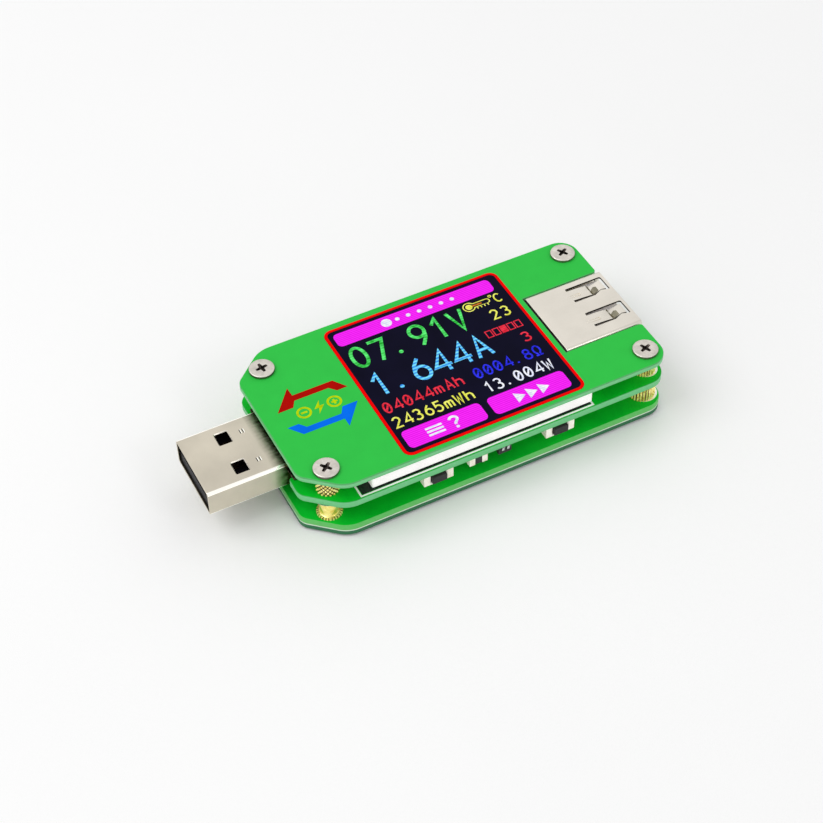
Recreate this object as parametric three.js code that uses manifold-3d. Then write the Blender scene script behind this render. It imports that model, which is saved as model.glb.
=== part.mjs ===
// USB power meter: three stacked green plates on brass standoffs, with a USB plug at one end,
// a USB socket at the other, a colour screen between them and four side-push switches.
// Millimetres, +Z up. X runs from the plug (-X) to the socket (+X). The origin is under the
// middle of the whole meter, on the surface that its lower screw heads stand on.

import * as THREE from "three";
import { mergeVertices } from "three/addons/utils/BufferGeometryUtils.js";
import Module from "manifold-3d";

const wasm = await Module();
wasm.setup();

// ---------------------------------------------------------------- driving dimensions

const FIT = 0.03;                 // clearance between pieces that are seated on each other
const PLATE_WIDTH = 30.5;
const PLATE_LEFT = -30.3;         // plate ends, measured from the middle of the four screws
const PLATE_RIGHT = 28.75;
const CHAMFER_X = 5.4;            // cut corners at the plug end
const CHAMFER_Y = 4.85;
const CHAMFER_END_RADIUS = 2.2;
const CHAMFER_SIDE_RADIUS = 4.5;
const SOCKET_END_RADIUS = 3.0;

const BACK_HEAD_HEIGHT = 0.35;    // the stack, from the bottom up
const SHEET_THICKNESS = 0.75;
const BACK_THICKNESS = 1.3;
const LOWER_GAP = 3.85;
const BOARD_THICKNESS = 1.2;
const UPPER_GAP = 3.0;
const COVER_THICKNESS = 1.0;
const COVER_HEAD_HEIGHT = 0.55;

const SHEET_Z = BACK_HEAD_HEIGHT;
const BACK_Z = SHEET_Z + SHEET_THICKNESS;
const BACK_TOP_Z = BACK_Z + BACK_THICKNESS;
const BOARD_Z = BACK_TOP_Z + LOWER_GAP;
const BOARD_TOP_Z = BOARD_Z + BOARD_THICKNESS;
const COVER_Z = BOARD_TOP_Z + UPPER_GAP;
const COVER_TOP_Z = COVER_Z + COVER_THICKNESS;

const SCREW_X = 26.1;
const SCREW_Y_PLUG_END = 11.2;    // the two screws beside the plug stand closer together
const SCREW_Y_SOCKET_END = 12.2;
const SCREW_HOLE_RADIUS = 1.1;
const THREAD_RADIUS = 0.95;       // M2
const BORE_RADIUS = 1.0;
const HEAD_RADIUS = 1.95;
const HEAD_EDGE = 0.15;
const RECESS_REACH = 0.9;         // cross recess: arm length, arm width, and metal left below it
const RECESS_WIDTH = 0.42;
const RECESS_FLOOR = 0.15;
const COVER_SCREW_REACH = 1.7;    // how far each screw goes into its standoff
const BACK_SCREW_REACH = 2.0;
const UPPER_STANDOFF_RADIUS = 1.8;
const UPPER_BORE_DEPTH = 2.0;
const STUD_REACH = 1.4;
const LOWER_STANDOFF_RADIUS = 1.45;
const PLUG_END_COLLAR = { radius: 1.95, height: 0.6 };
const SOCKET_END_COLLAR = { radius: 2.1, height: 3.3 };

const WINDOW = { x: -0.15, y: -0.25, width: 29.75, height: 28.65, radius: 1.4 };
const PANE_GAP = 0.05;
const PANE_THICKNESS = 0.8;
const LCD = { left: -20.6, right: 15.75, near: -14.5, far: 14.2, radius: 0.5 };
const LCD_TAPE = 0.35;
const LCD_TAPE_INSET = 0.35;
const LCD_RIM = 1.1;
const LCD_POCKET = 1.1;
const LCD_GLASS = 0.9;
const FLEX_WIDTH = 16;
const FLEX_THICKNESS = 0.12;
const FLEX_REACH = 1.45;

const PLUG = { y: 0.2, z: 6.95, front: -42.25, rear: -27.2, width: 12.0, height: 4.5 };
const PLUG_WALL = 0.3;
const PLUG_RADIUS = 0.6;
const PLUG_WINDOW = { x: -35.95, y: 3.1, length: 2.0, width: 2.35 };
const PLUG_EAR = { x: -28.9, length: 1.8, reach: 1.9 };
const PLUG_NOTCH = { x: -26.9, half: 7.1 };
const PLUG_TONGUE = 1.95;
const PLUG_BLOCK_X = -31.4;

const SOCKET = { y: -0.27, top: COVER_TOP_Z + 0.15, back: 15.85, front: 29.05 };
const SOCKET_WIDTH = 13.0;
const SOCKET_HEIGHT = 5.8;
const SOCKET_WALL = 0.3;
const SOCKET_NOTCH_GAP = 0.15;
const SOCKET_BOTTOM_Z = SOCKET.top - SOCKET_HEIGHT;
const SPRING = { x: 22.2, tip: 28.0, width: 2.3, slot: 0.32, dip: 0.42, pitch: 6.05 };
const SPRING_OFFSET_Y = 0.5;
const SOCKET_BLOCK = { back: 16.9, front: 19.6 };
const SOCKET_TONGUE = { tip: 28.2, top: SOCKET.top - 0.95, thickness: 1.85 };
const TONGUE_WIDTH = 11.1;

const CONTACT_ROWS = [-3.5, -1.0, 1.0, 3.5];
const CONTACT_WIDTH = 1.0;
const CONTACT_THICKNESS = 0.18;
const CHANNEL_WIDTH = 1.2;

const SWITCH = { near: 14.95, depth: 3.4, width: 4.7, height: 2.2 };
const SWITCH_X = [-10.2, 10.1];
const PLUNGER = { width: 2.4, height: 1.4, tip: 15.4, length: 2.1, gap: 0.08 };

const MICRO = { x: 0, width: 7.5, height: 2.45, depth: 5.2, mouth: 15.3, wall: 0.25 };

const LENGTH_MIDDLE = (PLUG.front + SOCKET.front) / 2;

// ---------------------------------------------------------------- materials

const finish = (color, roughness, metalness = 0) =>
  new THREE.MeshStandardMaterial({ color, roughness, metalness });

const coverGreen = finish(0x36c84d, 0.35);
const boardGreen = finish(0x0a9c32, 0.4);
const darkGreen = finish(0x2a6644, 0.6);
const steel = finish(0xcfc9bd, 0.32, 1);
const screwSteel = finish(0xd2cdc8, 0.38, 1);
const brass = finish(0xe3c45a, 0.3, 1);
const gold = finish(0xe6bf55, 0.25, 1);
const blackPlastic = finish(0x141414, 0.5);
const whitePlastic = finish(0xf0ece8, 0.45);
const creamPlastic = finish(0xeee6d8, 0.5);
const screenGlass = finish(0x10101f, 0.12);
const clearGlass = finish(0x15152a, 0.05);
const amberFilm = finish(0x7a4a12, 0.4);
const tan = finish(0xc9b48a, 0.55);
const ferrite = finish(0x3b3b3f, 0.7);

// ---------------------------------------------------------------- solids

function solid(geometry) {
  const bare = geometry.index ? geometry.toNonIndexed() : geometry;
  for (const name of Object.keys(bare.attributes)) {
    if (name !== "position") bare.deleteAttribute(name);
  }
  const merged = mergeVertices(bare, 1e-4);
  return new wasm.Manifold(
    new wasm.Mesh({
      numProp: 3,
      vertProperties: new Float32Array(merged.attributes.position.array),
      triVerts: new Uint32Array(merged.index.array),
    }),
  );
}

function geometryOf(body) {
  const mesh = body.getMesh();
  const geometry = new THREE.BufferGeometry();
  geometry.setAttribute("position", new THREE.BufferAttribute(mesh.vertProperties, 3));
  geometry.setIndex(new THREE.BufferAttribute(mesh.triVerts, 1));
  geometry.computeVertexNormals();
  return geometry;
}

const meter = new THREE.Group();
meter.position.x = -LENGTH_MIDDLE;

function place(name, body, material) {
  const mesh = new THREE.Mesh(geometryOf(body), material);
  mesh.name = name;
  meter.add(mesh);
}

function box(x0, x1, y0, y1, z0, z1) {
  const geometry = new THREE.BoxGeometry(x1 - x0, y1 - y0, z1 - z0);
  geometry.translate((x0 + x1) / 2, (y0 + y1) / 2, (z0 + z1) / 2);
  return solid(geometry);
}

function turned(profile, x, y, segments = 24) {
  const points = profile.map(([r, z]) => new THREE.Vector2(r, z));
  const geometry = new THREE.LatheGeometry(points, segments);
  geometry.rotateX(Math.PI / 2);
  geometry.translate(x, y, 0);
  return solid(geometry);
}

// A closed outline with each corner rounded by its own radius: [x, y, radius].
function outline(corners) {
  const shape = new THREE.Shape();
  const count = corners.length;
  corners.forEach(([x, y, radius = 0], i) => {
    const corner = new THREE.Vector2(x, y);
    const before = new THREE.Vector2(...corners[(i + count - 1) % count]);
    const after = new THREE.Vector2(...corners[(i + 1) % count]);
    const towardBefore = before.sub(corner).normalize();
    const towardAfter = after.sub(corner).normalize();
    const half = Math.acos(towardBefore.dot(towardAfter)) / 2;
    const setback = radius / Math.tan(half);
    const start = corner.clone().addScaledVector(towardBefore, setback);
    if (i === 0) shape.moveTo(start.x, start.y);
    else shape.lineTo(start.x, start.y);
    if (radius > 0) {
      const toCentre = towardBefore.clone().add(towardAfter).normalize();
      const centre = corner.clone().addScaledVector(toCentre, radius / Math.sin(half));
      const end = corner.clone().addScaledVector(towardAfter, setback);
      const a0 = Math.atan2(start.y - centre.y, start.x - centre.x);
      const a1 = Math.atan2(end.y - centre.y, end.x - centre.x);
      const clockwise = towardBefore.cross(towardAfter) > 0;
      shape.absarc(centre.x, centre.y, radius, a0, a1, clockwise);
    }
  });
  shape.closePath();
  return shape;
}

function rectangle(x, y, width, height, radius = 0) {
  const w = width / 2;
  const h = height / 2;
  return outline([
    [x - w, y - h, radius],
    [x + w, y - h, radius],
    [x + w, y + h, radius],
    [x - w, y + h, radius],
  ]);
}

function hole(x, y, radius) {
  const path = new THREE.Path();
  path.absarc(x, y, radius, 0, 2 * Math.PI);
  return path;
}

function extruded(shape, depth, curveSegments) {
  return new THREE.ExtrudeGeometry(shape, { depth, bevelEnabled: false, curveSegments });
}

function plate(shape, z0, z1, curveSegments = 6) {
  const geometry = extruded(shape, z1 - z0, curveSegments);
  geometry.translate(0, 0, z0);
  return solid(geometry);
}

// A section drawn in Y and Z, run along X.
function alongX(shape, x0, x1, curveSegments = 4) {
  const geometry = extruded(shape, x1 - x0, curveSegments);
  geometry.applyMatrix4(new THREE.Matrix4().set(0, 0, 1, x0, 1, 0, 0, 0, 0, 1, 0, 0, 0, 0, 0, 1));
  return solid(geometry);
}

// A section drawn in X and Z, run along Y.
function alongY(shape, y0, y1, curveSegments = 4) {
  const geometry = extruded(shape, y1 - y0, curveSegments);
  geometry.applyMatrix4(new THREE.Matrix4().set(1, 0, 0, 0, 0, 0, -1, y1, 0, 1, 0, 0, 0, 0, 0, 1));
  return solid(geometry);
}

// A strip of constant thickness that follows points in X and Z, t to the left of its run.
function strip(points, thickness) {
  const normals = points.map(([x, z], i) => {
    const [px, pz] = points[Math.max(i - 1, 0)];
    const [nx, nz] = points[Math.min(i + 1, points.length - 1)];
    const length = Math.hypot(nx - px, nz - pz);
    return [-(nz - pz) / length, (nx - px) / length];
  });
  const upper = points.map(([x, z], i) => [
    x + normals[i][0] * thickness,
    z + normals[i][1] * thickness,
  ]);
  return new THREE.Shape([...points, ...upper.reverse()].map((p) => new THREE.Vector2(...p)));
}

// ---------------------------------------------------------------- plates

const HALF = PLATE_WIDTH / 2;

const screwPlaces = [
  ["plug_near", -SCREW_X, -SCREW_Y_PLUG_END, PLUG_END_COLLAR],
  ["plug_far", -SCREW_X, SCREW_Y_PLUG_END, PLUG_END_COLLAR],
  ["socket_near", SCREW_X, -SCREW_Y_SOCKET_END, SOCKET_END_COLLAR],
  ["socket_far", SCREW_X, SCREW_Y_SOCKET_END, SOCKET_END_COLLAR],
];

const plugEnd = [
  [PLATE_LEFT + CHAMFER_X, HALF, CHAMFER_SIDE_RADIUS],
  [PLATE_LEFT, HALF - CHAMFER_Y, CHAMFER_END_RADIUS],
];
const plugEndNear = [
  [PLATE_LEFT, -HALF + CHAMFER_Y, CHAMFER_END_RADIUS],
  [PLATE_LEFT + CHAMFER_X, -HALF, CHAMFER_SIDE_RADIUS],
];
const socketEndNear = [[PLATE_RIGHT, -HALF, SOCKET_END_RADIUS]];
const socketEndFar = [[PLATE_RIGHT, HALF, SOCKET_END_RADIUS]];

const notchNear = SOCKET.y - SOCKET_WIDTH / 2 - SOCKET_NOTCH_GAP;
const notchFar = SOCKET.y + SOCKET_WIDTH / 2 + SOCKET_NOTCH_GAP;
const notchBack = SOCKET.back - 2 * SOCKET_NOTCH_GAP;
const socketNotch = [
  [PLATE_RIGHT, notchNear, 0.5],
  [notchBack, notchNear],
  [notchBack, notchFar],
  [PLATE_RIGHT, notchFar, 0.5],
];
const plugNotch = [
  [PLATE_LEFT, PLUG.y + PLUG_NOTCH.half, 0.5],
  [PLUG_NOTCH.x, PLUG.y + PLUG_NOTCH.half],
  [PLUG_NOTCH.x, PLUG.y - PLUG_NOTCH.half],
  [PLATE_LEFT, PLUG.y - PLUG_NOTCH.half, 0.5],
];

function drilled(corners) {
  const shape = outline(corners);
  for (const [, x, y] of screwPlaces) shape.holes.push(hole(x, y, SCREW_HOLE_RADIUS));
  return shape;
}

const fullPlate = [...plugEndNear, ...socketEndNear, ...socketEndFar, ...plugEnd];
const coverPlate = [...plugEndNear, ...socketEndNear, ...socketNotch, ...socketEndFar, ...plugEnd];

function makePlates() {
  const cover = drilled(coverPlate);
  cover.holes.push(
    rectangle(WINDOW.x, WINDOW.y, WINDOW.width, WINDOW.height, WINDOW.radius),
  );
  place("front_cover", plate(cover, COVER_Z, COVER_TOP_Z), coverGreen);
  place("main_board", plate(drilled([...coverPlate, ...plugNotch]), BOARD_Z, BOARD_TOP_Z), boardGreen);
  place("back_cover", plate(drilled(fullPlate), BACK_Z, BACK_TOP_Z), boardGreen);
  place("back_sheet", plate(drilled(fullPlate), SHEET_Z, BACK_Z), darkGreen);
}

// ---------------------------------------------------------------- screws and standoffs

function crossRecess(x, y, z0, z1) {
  const half = RECESS_WIDTH / 2;
  const reach = RECESS_REACH;
  return box(x - reach, x + reach, y - half, y + half, z0, z1).add(
    box(x - half, x + half, y - reach, y + reach, z0, z1),
  );
}

// side is 1 for a head on top and -1 for a head underneath; z is the seat under the head.
function screw(x, y, z, side, reach, headHeight) {
  const profile = [
    [0, z - side * reach],
    [THREAD_RADIUS, z - side * reach],
    [THREAD_RADIUS, z],
    [HEAD_RADIUS, z],
    [HEAD_RADIUS, z + side * (headHeight - HEAD_EDGE)],
    [HEAD_RADIUS - HEAD_EDGE, z + side * headHeight],
    [0, z + side * headHeight],
  ];
  const body = turned(side > 0 ? profile : profile.reverse(), x, y);
  const floor = z + side * RECESS_FLOOR;
  const beyond = z + side * (headHeight + 1);
  return body.subtract(crossRecess(x, y, Math.min(floor, beyond), Math.max(floor, beyond)));
}

function upperStandoff(x, y) {
  const top = COVER_Z;
  const bottom = BOARD_TOP_Z;
  return turned(
    [
      [0, BOARD_Z - STUD_REACH],
      [THREAD_RADIUS, BOARD_Z - STUD_REACH],
      [THREAD_RADIUS, bottom],
      [UPPER_STANDOFF_RADIUS, bottom],
      [UPPER_STANDOFF_RADIUS, top],
      [BORE_RADIUS, top],
      [BORE_RADIUS, top - UPPER_BORE_DEPTH],
      [0, top - UPPER_BORE_DEPTH],
    ],
    x,
    y,
  );
}

function lowerStandoff(x, y, collar) {
  const collarTop = BACK_TOP_Z + collar.height;
  return turned(
    [
      [BORE_RADIUS, BACK_TOP_Z],
      [collar.radius, BACK_TOP_Z],
      [collar.radius, collarTop],
      [LOWER_STANDOFF_RADIUS, collarTop],
      [LOWER_STANDOFF_RADIUS, BOARD_Z],
      [BORE_RADIUS, BOARD_Z],
      [BORE_RADIUS, BACK_TOP_Z],
    ],
    x,
    y,
  );
}

function makeFasteners() {
  for (const [corner, x, y, collar] of screwPlaces) {
    place(`upper_standoff_${corner}`, upperStandoff(x, y), brass);
    place(`lower_standoff_${corner}`, lowerStandoff(x, y, collar), brass);
    const coverReach = COVER_THICKNESS + COVER_SCREW_REACH;
    const coverScrew = screw(x, y, COVER_TOP_Z, 1, coverReach, COVER_HEAD_HEIGHT);
    place(`cover_screw_${corner}`, coverScrew, screwSteel);
    const backReach = SHEET_THICKNESS + BACK_THICKNESS + BACK_SCREW_REACH;
    const backScrew = screw(x, y, SHEET_Z, -1, backReach, BACK_HEAD_HEIGHT);
    place(`back_screw_${corner}`, backScrew, screwSteel);
  }
}

// ---------------------------------------------------------------- screen

function makeScreen() {
  const pane = rectangle(
    WINDOW.x,
    WINDOW.y,
    WINDOW.width - 2 * PANE_GAP,
    WINDOW.height - 2 * PANE_GAP,
    WINDOW.radius - PANE_GAP,
  );
  place("screen_window", plate(pane, COVER_TOP_Z - PANE_THICKNESS, COVER_TOP_Z), clearGlass);

  const middleX = (LCD.left + LCD.right) / 2;
  const middleY = (LCD.near + LCD.far) / 2;
  const width = LCD.right - LCD.left;
  const height = LCD.far - LCD.near;
  const bottom = BOARD_TOP_Z + LCD_TAPE;
  const top = COVER_Z - FIT;
  const tape = rectangle(middleX, middleY, width - 2 * LCD_TAPE_INSET, height - 2 * LCD_TAPE_INSET);
  place("screen_tape", plate(tape, BOARD_TOP_Z, bottom), blackPlastic);

  // The backlight frame is a shallow tray with the glass panel lying in it.
  const tray = plate(rectangle(middleX, middleY, width, height, LCD.radius), bottom, top);
  const pocketWidth = width - 2 * LCD_RIM;
  const pocketHeight = height - 2 * LCD_RIM;
  const pocket = plate(
    rectangle(middleX, middleY, pocketWidth, pocketHeight),
    top - LCD_POCKET,
    top + 1,
  );
  place("screen_frame", tray.subtract(pocket), whitePlastic);
  const glass = rectangle(middleX, middleY, pocketWidth - 0.2, pocketHeight - 0.2);
  const glassBottom = top - LCD_POCKET + FIT;
  place("screen_panel", plate(glass, glassBottom, glassBottom + LCD_GLASS), screenGlass);

  // The flat cable leaves under the frame's plug-side edge and folds back onto the main board.
  const foldRadius = (bottom - BOARD_TOP_Z) / 2 - FLEX_THICKNESS / 2 - FIT;
  const foldZ = BOARD_TOP_Z + foldRadius + FLEX_THICKNESS / 2 + FIT;
  const start = LCD.left + LCD_TAPE_INSET - 2 * FIT;
  const points = [[start, foldZ + foldRadius]];
  const steps = 6;
  for (let i = 0; i <= steps; i++) {
    const angle = Math.PI / 2 + (Math.PI * i) / steps;
    points.push([
      LCD.left - FLEX_REACH + foldRadius * Math.cos(angle),
      foldZ + foldRadius * Math.sin(angle),
    ]);
  }
  points.push([start, foldZ - foldRadius]);
  const flex = strip(points, FLEX_THICKNESS / 2);
  const y = middleY;
  place("screen_flex", alongY(flex, y - FLEX_WIDTH / 2, y + FLEX_WIDTH / 2), amberFilm);
}

// ---------------------------------------------------------------- USB plug

function makePlug() {
  const { y, z, front, rear, width, height } = PLUG;
  const section = rectangle(y, z, width, height, PLUG_RADIUS);
  const innerWidth = width - 2 * PLUG_WALL;
  const innerHeight = height - 2 * PLUG_WALL;
  const innerRadius = PLUG_RADIUS - PLUG_WALL;
  section.holes.push(rectangle(y, z, innerWidth, innerHeight, innerRadius));
  let shell = alongX(section, front, rear);
  for (const side of [-1, 1]) {
    const x0 = PLUG_WINDOW.x - PLUG_WINDOW.length / 2;
    const y0 = y + side * PLUG_WINDOW.y - PLUG_WINDOW.width / 2;
    const x1 = x0 + PLUG_WINDOW.length;
    const y1 = y0 + PLUG_WINDOW.width;
    shell = shell.subtract(box(x0, x1, y0, y1, z - height, z + height));
    // Ears at the rear lie on the main board, beside the notch.
    const flank = y + side * (width / 2 - PLUG_WALL / 2);
    const tip = y + side * (width / 2 + PLUG_EAR.reach);
    shell = shell.add(
      box(
        PLUG_EAR.x - PLUG_EAR.length / 2,
        PLUG_EAR.x + PLUG_EAR.length / 2,
        Math.min(flank, tip),
        Math.max(flank, tip),
        BOARD_TOP_Z + FIT,
        BOARD_TOP_Z + FIT + PLUG_WALL,
      ),
    );
  }
  place("plug_shell", shell, steel);

  const floor = z - innerHeight / 2 + FIT;
  const ceiling = z + innerHeight / 2 - FIT;
  const tongueTop = floor + PLUG_TONGUE;
  const tongueFront = front + 0.35;
  const profile = outline([
    [tongueFront, floor],
    [rear, floor],
    [rear, ceiling],
    [PLUG_BLOCK_X, ceiling],
    [PLUG_BLOCK_X, tongueTop],
    [tongueFront, tongueTop],
  ]);
  let insulator = alongY(profile, y - TONGUE_WIDTH / 2, y + TONGUE_WIDTH / 2);
  const tail = BOARD_TOP_Z + FIT;
  CONTACT_ROWS.forEach((row, i) => {
    const middle = y + row;
    const half = CHANNEL_WIDTH / 2;
    const channelTop = tail + 2 * CONTACT_THICKNESS;
    insulator = insulator.subtract(
      box(PLUG_BLOCK_X - 0.1, rear + 1, middle - half, middle + half, tongueTop, channelTop),
    );
    // The two outer contacts reach further forward, so that power joins first.
    const tip = tongueFront + (Math.abs(row) > 2 ? 0.9 : 1.9);
    const contact = strip(
      [
        [tip, tongueTop + FIT],
        [rear - 0.5, tongueTop + FIT],
        [rear - 0.1, tail],
        [PLUG_NOTCH.x + 1.5, tail],
      ],
      CONTACT_THICKNESS,
    );
    const w = CONTACT_WIDTH / 2;
    place(`plug_contact_${i + 1}`, alongY(contact, middle - w, middle + w), gold);
  });
  place("plug_insulator", insulator, blackPlastic);
}

// ---------------------------------------------------------------- USB socket

function springStrip(wallTop) {
  const under = wallTop - SOCKET_WALL;
  return strip(
    [
      [SPRING.x - 0.3, under],
      [SPRING.x + 0.4, under],
      [SPRING.tip - 1.7, under - SPRING.dip],
      [SPRING.tip, under - 0.1],
    ],
    SOCKET_WALL * 0.9,
  );
}

function makeSocket() {
  const { y, top, back, front } = SOCKET;
  const bottom = SOCKET_BOTTOM_Z;
  const near = y - SOCKET_WIDTH / 2;
  const far = y + SOCKET_WIDTH / 2;
  const wall = SOCKET_WALL;
  let shell = alongX(rectangle(y, (top + bottom) / 2, SOCKET_WIDTH, SOCKET_HEIGHT, 0.5), back, front);
  shell = shell.subtract(
    box(back + wall, front + 1, near + wall, far - wall, bottom + wall, top - wall),
  );
  // The contact tails leave through an opening low in the rear wall.
  shell = shell.subtract(box(back - 1, back + 1, y - 4.4, y + 4.4, bottom - 1, BOARD_Z + 0.6));
  for (const side of [-1, 1]) {
    const middle = y + SPRING_OFFSET_Y + (side * SPRING.pitch) / 2;
    const half = SPRING.width / 2;
    const tip = SPRING.tip + SPRING.slot;
    const slotHalf = half + SPRING.slot;
    const y0 = middle - slotHalf;
    const y1 = middle + slotHalf;
    shell = shell.subtract(box(SPRING.x, tip, y0, y1, top - 2 * wall, top + 1));
    shell = shell.subtract(box(SPRING.x, tip, y0, y1, bottom - 1, bottom + 2 * wall));
    const upperSpring = alongY(springStrip(top), middle - half, middle + half);
    shell = shell.add(upperSpring);
    const centre = (top + bottom) / 2;
    shell = shell.add(upperSpring.mirror([0, 0, 1]).translate([0, 0, 2 * centre]));
  }
  place("socket_shell", shell, steel);

  const tongueBottom = SOCKET_TONGUE.top - SOCKET_TONGUE.thickness;
  const inner = wall + FIT;
  const block = box(
    SOCKET_BLOCK.back,
    SOCKET_BLOCK.front,
    near + inner,
    far - inner,
    bottom + inner,
    top - inner,
  );
  const tongue = box(
    SOCKET_BLOCK.front - 1,
    SOCKET_TONGUE.tip,
    y - TONGUE_WIDTH / 2,
    y + TONGUE_WIDTH / 2,
    tongueBottom,
    SOCKET_TONGUE.top,
  );
  let insulator = block.add(tongue);
  const run = tongueBottom - FIT - CONTACT_THICKNESS;
  const tail = BOARD_Z - FIT - CONTACT_THICKNESS;
  CONTACT_ROWS.forEach((row, i) => {
    const middle = y + row;
    const half = CHANNEL_WIDTH / 2;
    insulator = insulator.subtract(
      box(
        SOCKET_BLOCK.back - 1,
        SOCKET_BLOCK.front + 0.2,
        middle - half,
        middle + half,
        run - 0.15,
        tongueBottom,
      ),
    );
    const tip = SOCKET_TONGUE.tip - (Math.abs(row) > 2 ? 0.6 : 1.6);
    const contact = outline([
      [tip, run],
      [tip, run + CONTACT_THICKNESS],
      [SOCKET_BLOCK.back - 0.4, run + CONTACT_THICKNESS],
      [SOCKET_BLOCK.back - 0.4, tail + CONTACT_THICKNESS],
      [notchBack - 1.3, tail + CONTACT_THICKNESS],
      [notchBack - 1.3, tail],
      [SOCKET_BLOCK.back - 0.4 + CONTACT_THICKNESS, tail],
      [SOCKET_BLOCK.back - 0.4 + CONTACT_THICKNESS, run],
    ]);
    const w = CONTACT_WIDTH / 2;
    place(`socket_contact_${i + 1}`, alongY(contact, middle - w, middle + w), gold);
  });
  place("socket_insulator", insulator, whitePlastic);
}

// ---------------------------------------------------------------- side-push switches

function makeSwitches() {
  const top = BOARD_Z - FIT;
  const bottom = top - SWITCH.height;
  const middleZ = (top + bottom) / 2;
  for (const [sideName, side] of [["near", -1], ["far", 1]]) {
    SWITCH_X.forEach((x, i) => {
      const end = ["plug", "socket"][i];
      const faceY = side * SWITCH.near;
      const rearY = side * (SWITCH.near - SWITCH.depth);
      const half = SWITCH.width / 2;
      const body = box(x - half, x + half, Math.min(faceY, rearY), Math.max(faceY, rearY), bottom, top);
      const tipY = side * PLUNGER.tip;
      const innerY = side * (PLUNGER.tip - PLUNGER.length);
      const channelY = side * (PLUNGER.tip - PLUNGER.length - 0.45);
      const g = PLUNGER.gap;
      const w = PLUNGER.width / 2;
      const h = PLUNGER.height / 2;
      const channel = box(
        x - w - g,
        x + w + g,
        Math.min(channelY, faceY + side),
        Math.max(channelY, faceY + side),
        middleZ - h - g,
        middleZ + h + g,
      );
      place(`switch_housing_${sideName}_${end}`, body.subtract(channel), creamPlastic);
      const plunger = box(
        x - w,
        x + w,
        Math.min(innerY, tipY),
        Math.max(innerY, tipY),
        middleZ - h,
        middleZ + h,
      );
      place(`switch_plunger_${sideName}_${end}`, plunger, blackPlastic);
    });
  }
}

// ---------------------------------------------------------------- small input socket

function makeInputSocket() {
  const { x, width, height, depth, mouth, wall } = MICRO;
  const top = BOARD_Z - FIT;
  const bottom = top - height;
  const taper = 0.7;
  const section = (inset) => outline([
    [x - width / 2 + inset, top - inset, 0.2],
    [x - width / 2 + inset, bottom + 1.1, 0.2],
    [x - width / 2 + taper + inset, bottom + inset, 0.2],
    [x + width / 2 - taper - inset, bottom + inset, 0.2],
    [x + width / 2 - inset, bottom + 1.1, 0.2],
    [x + width / 2 - inset, top - inset, 0.2],
  ]);
  const shell = alongY(section(0), mouth - depth, mouth);
  const cavity = alongY(section(wall), mouth - depth + wall, mouth + 1);
  place("input_socket_shell", shell.subtract(cavity), steel);
  const back = mouth - depth + wall + FIT;
  const tongueZ = top - 0.75;
  const block = box(x - 2.6, x + 2.6, back, back + 1.4, bottom + 0.45, top - 0.45);
  const tongue = box(x - 1.9, x + 1.9, back + 1, mouth - 0.7, tongueZ - 0.6, tongueZ);
  place("input_socket_insulator", block.add(tongue), blackPlastic);
}

// ---------------------------------------------------------------- parts under the main board

const CHIPS = [
  ["microcontroller", 2.0, -4.0, 7.0, 7.0, 1.4, blackPlastic],
  ["memory_chip", -7.5, -4.0, 4.9, 3.9, 1.5, blackPlastic],
  ["voltage_regulator", -14.5, -4.5, 4.5, 2.5, 1.5, blackPlastic],
  ["crystal", 9.5, -4.0, 5.0, 3.2, 1.2, steel],
  ["shunt_resistor", -20.5, 0.2, 3.2, 6.4, 0.8, blackPlastic],
  ["inductor", -14.5, 5.0, 4.0, 4.0, 2.0, ferrite],
  ["capacitor", -3.6, -14.1, 3.0, 1.7, 1.7, tan],
  ["transistor", 0.8, -14.1, 2.2, 1.7, 1.6, blackPlastic],
];

function makeChips() {
  for (const [name, x, y, length, width, height, material] of CHIPS) {
    const top = BOARD_Z - FIT;
    const body = box(
      x - length / 2,
      x + length / 2,
      y - width / 2,
      y + width / 2,
      top - height,
      top,
    );
    place(name, body, material);
  }
}

// ---------------------------------------------------------------- assembly

makePlates();
makeScreen();
makeFasteners();
makePlug();
makeSocket();
makeSwitches();
makeInputSocket();
makeChips();

export default meter;
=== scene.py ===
import math
import random

import bmesh
import bpy
from mathutils import Matrix, Vector


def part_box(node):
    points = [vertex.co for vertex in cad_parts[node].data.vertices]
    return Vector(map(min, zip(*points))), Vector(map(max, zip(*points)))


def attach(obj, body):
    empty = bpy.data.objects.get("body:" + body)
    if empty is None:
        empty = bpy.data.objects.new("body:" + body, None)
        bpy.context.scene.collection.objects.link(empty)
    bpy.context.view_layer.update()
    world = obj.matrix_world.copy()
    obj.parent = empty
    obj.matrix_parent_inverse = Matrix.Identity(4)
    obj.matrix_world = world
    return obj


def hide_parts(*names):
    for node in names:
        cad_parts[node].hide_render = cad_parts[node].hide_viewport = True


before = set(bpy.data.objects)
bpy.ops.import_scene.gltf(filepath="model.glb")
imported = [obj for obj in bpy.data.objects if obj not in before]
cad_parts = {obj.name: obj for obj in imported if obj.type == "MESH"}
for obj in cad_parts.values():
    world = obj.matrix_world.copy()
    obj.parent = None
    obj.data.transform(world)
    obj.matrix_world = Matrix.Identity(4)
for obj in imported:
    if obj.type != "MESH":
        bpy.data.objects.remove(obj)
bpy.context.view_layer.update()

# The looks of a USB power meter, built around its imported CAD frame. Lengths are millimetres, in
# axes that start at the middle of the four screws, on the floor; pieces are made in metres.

# ---- places taken from the frame

MM = 0.001
CORNERS = ("plug_near", "plug_far", "socket_near", "socket_far")
MIDDLE_X = sum(p.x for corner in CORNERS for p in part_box("cover_screw_" + corner)) / 8 / MM


def span(node):
    """Lowest and highest corner of a CAD node, in the script's millimetre axes."""
    shift = Vector((MIDDLE_X, 0, 0))
    low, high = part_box(node)
    return low / MM - shift, high / MM - shift


def middle(node):
    low, high = span(node)
    return (low + high) / 2


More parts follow.
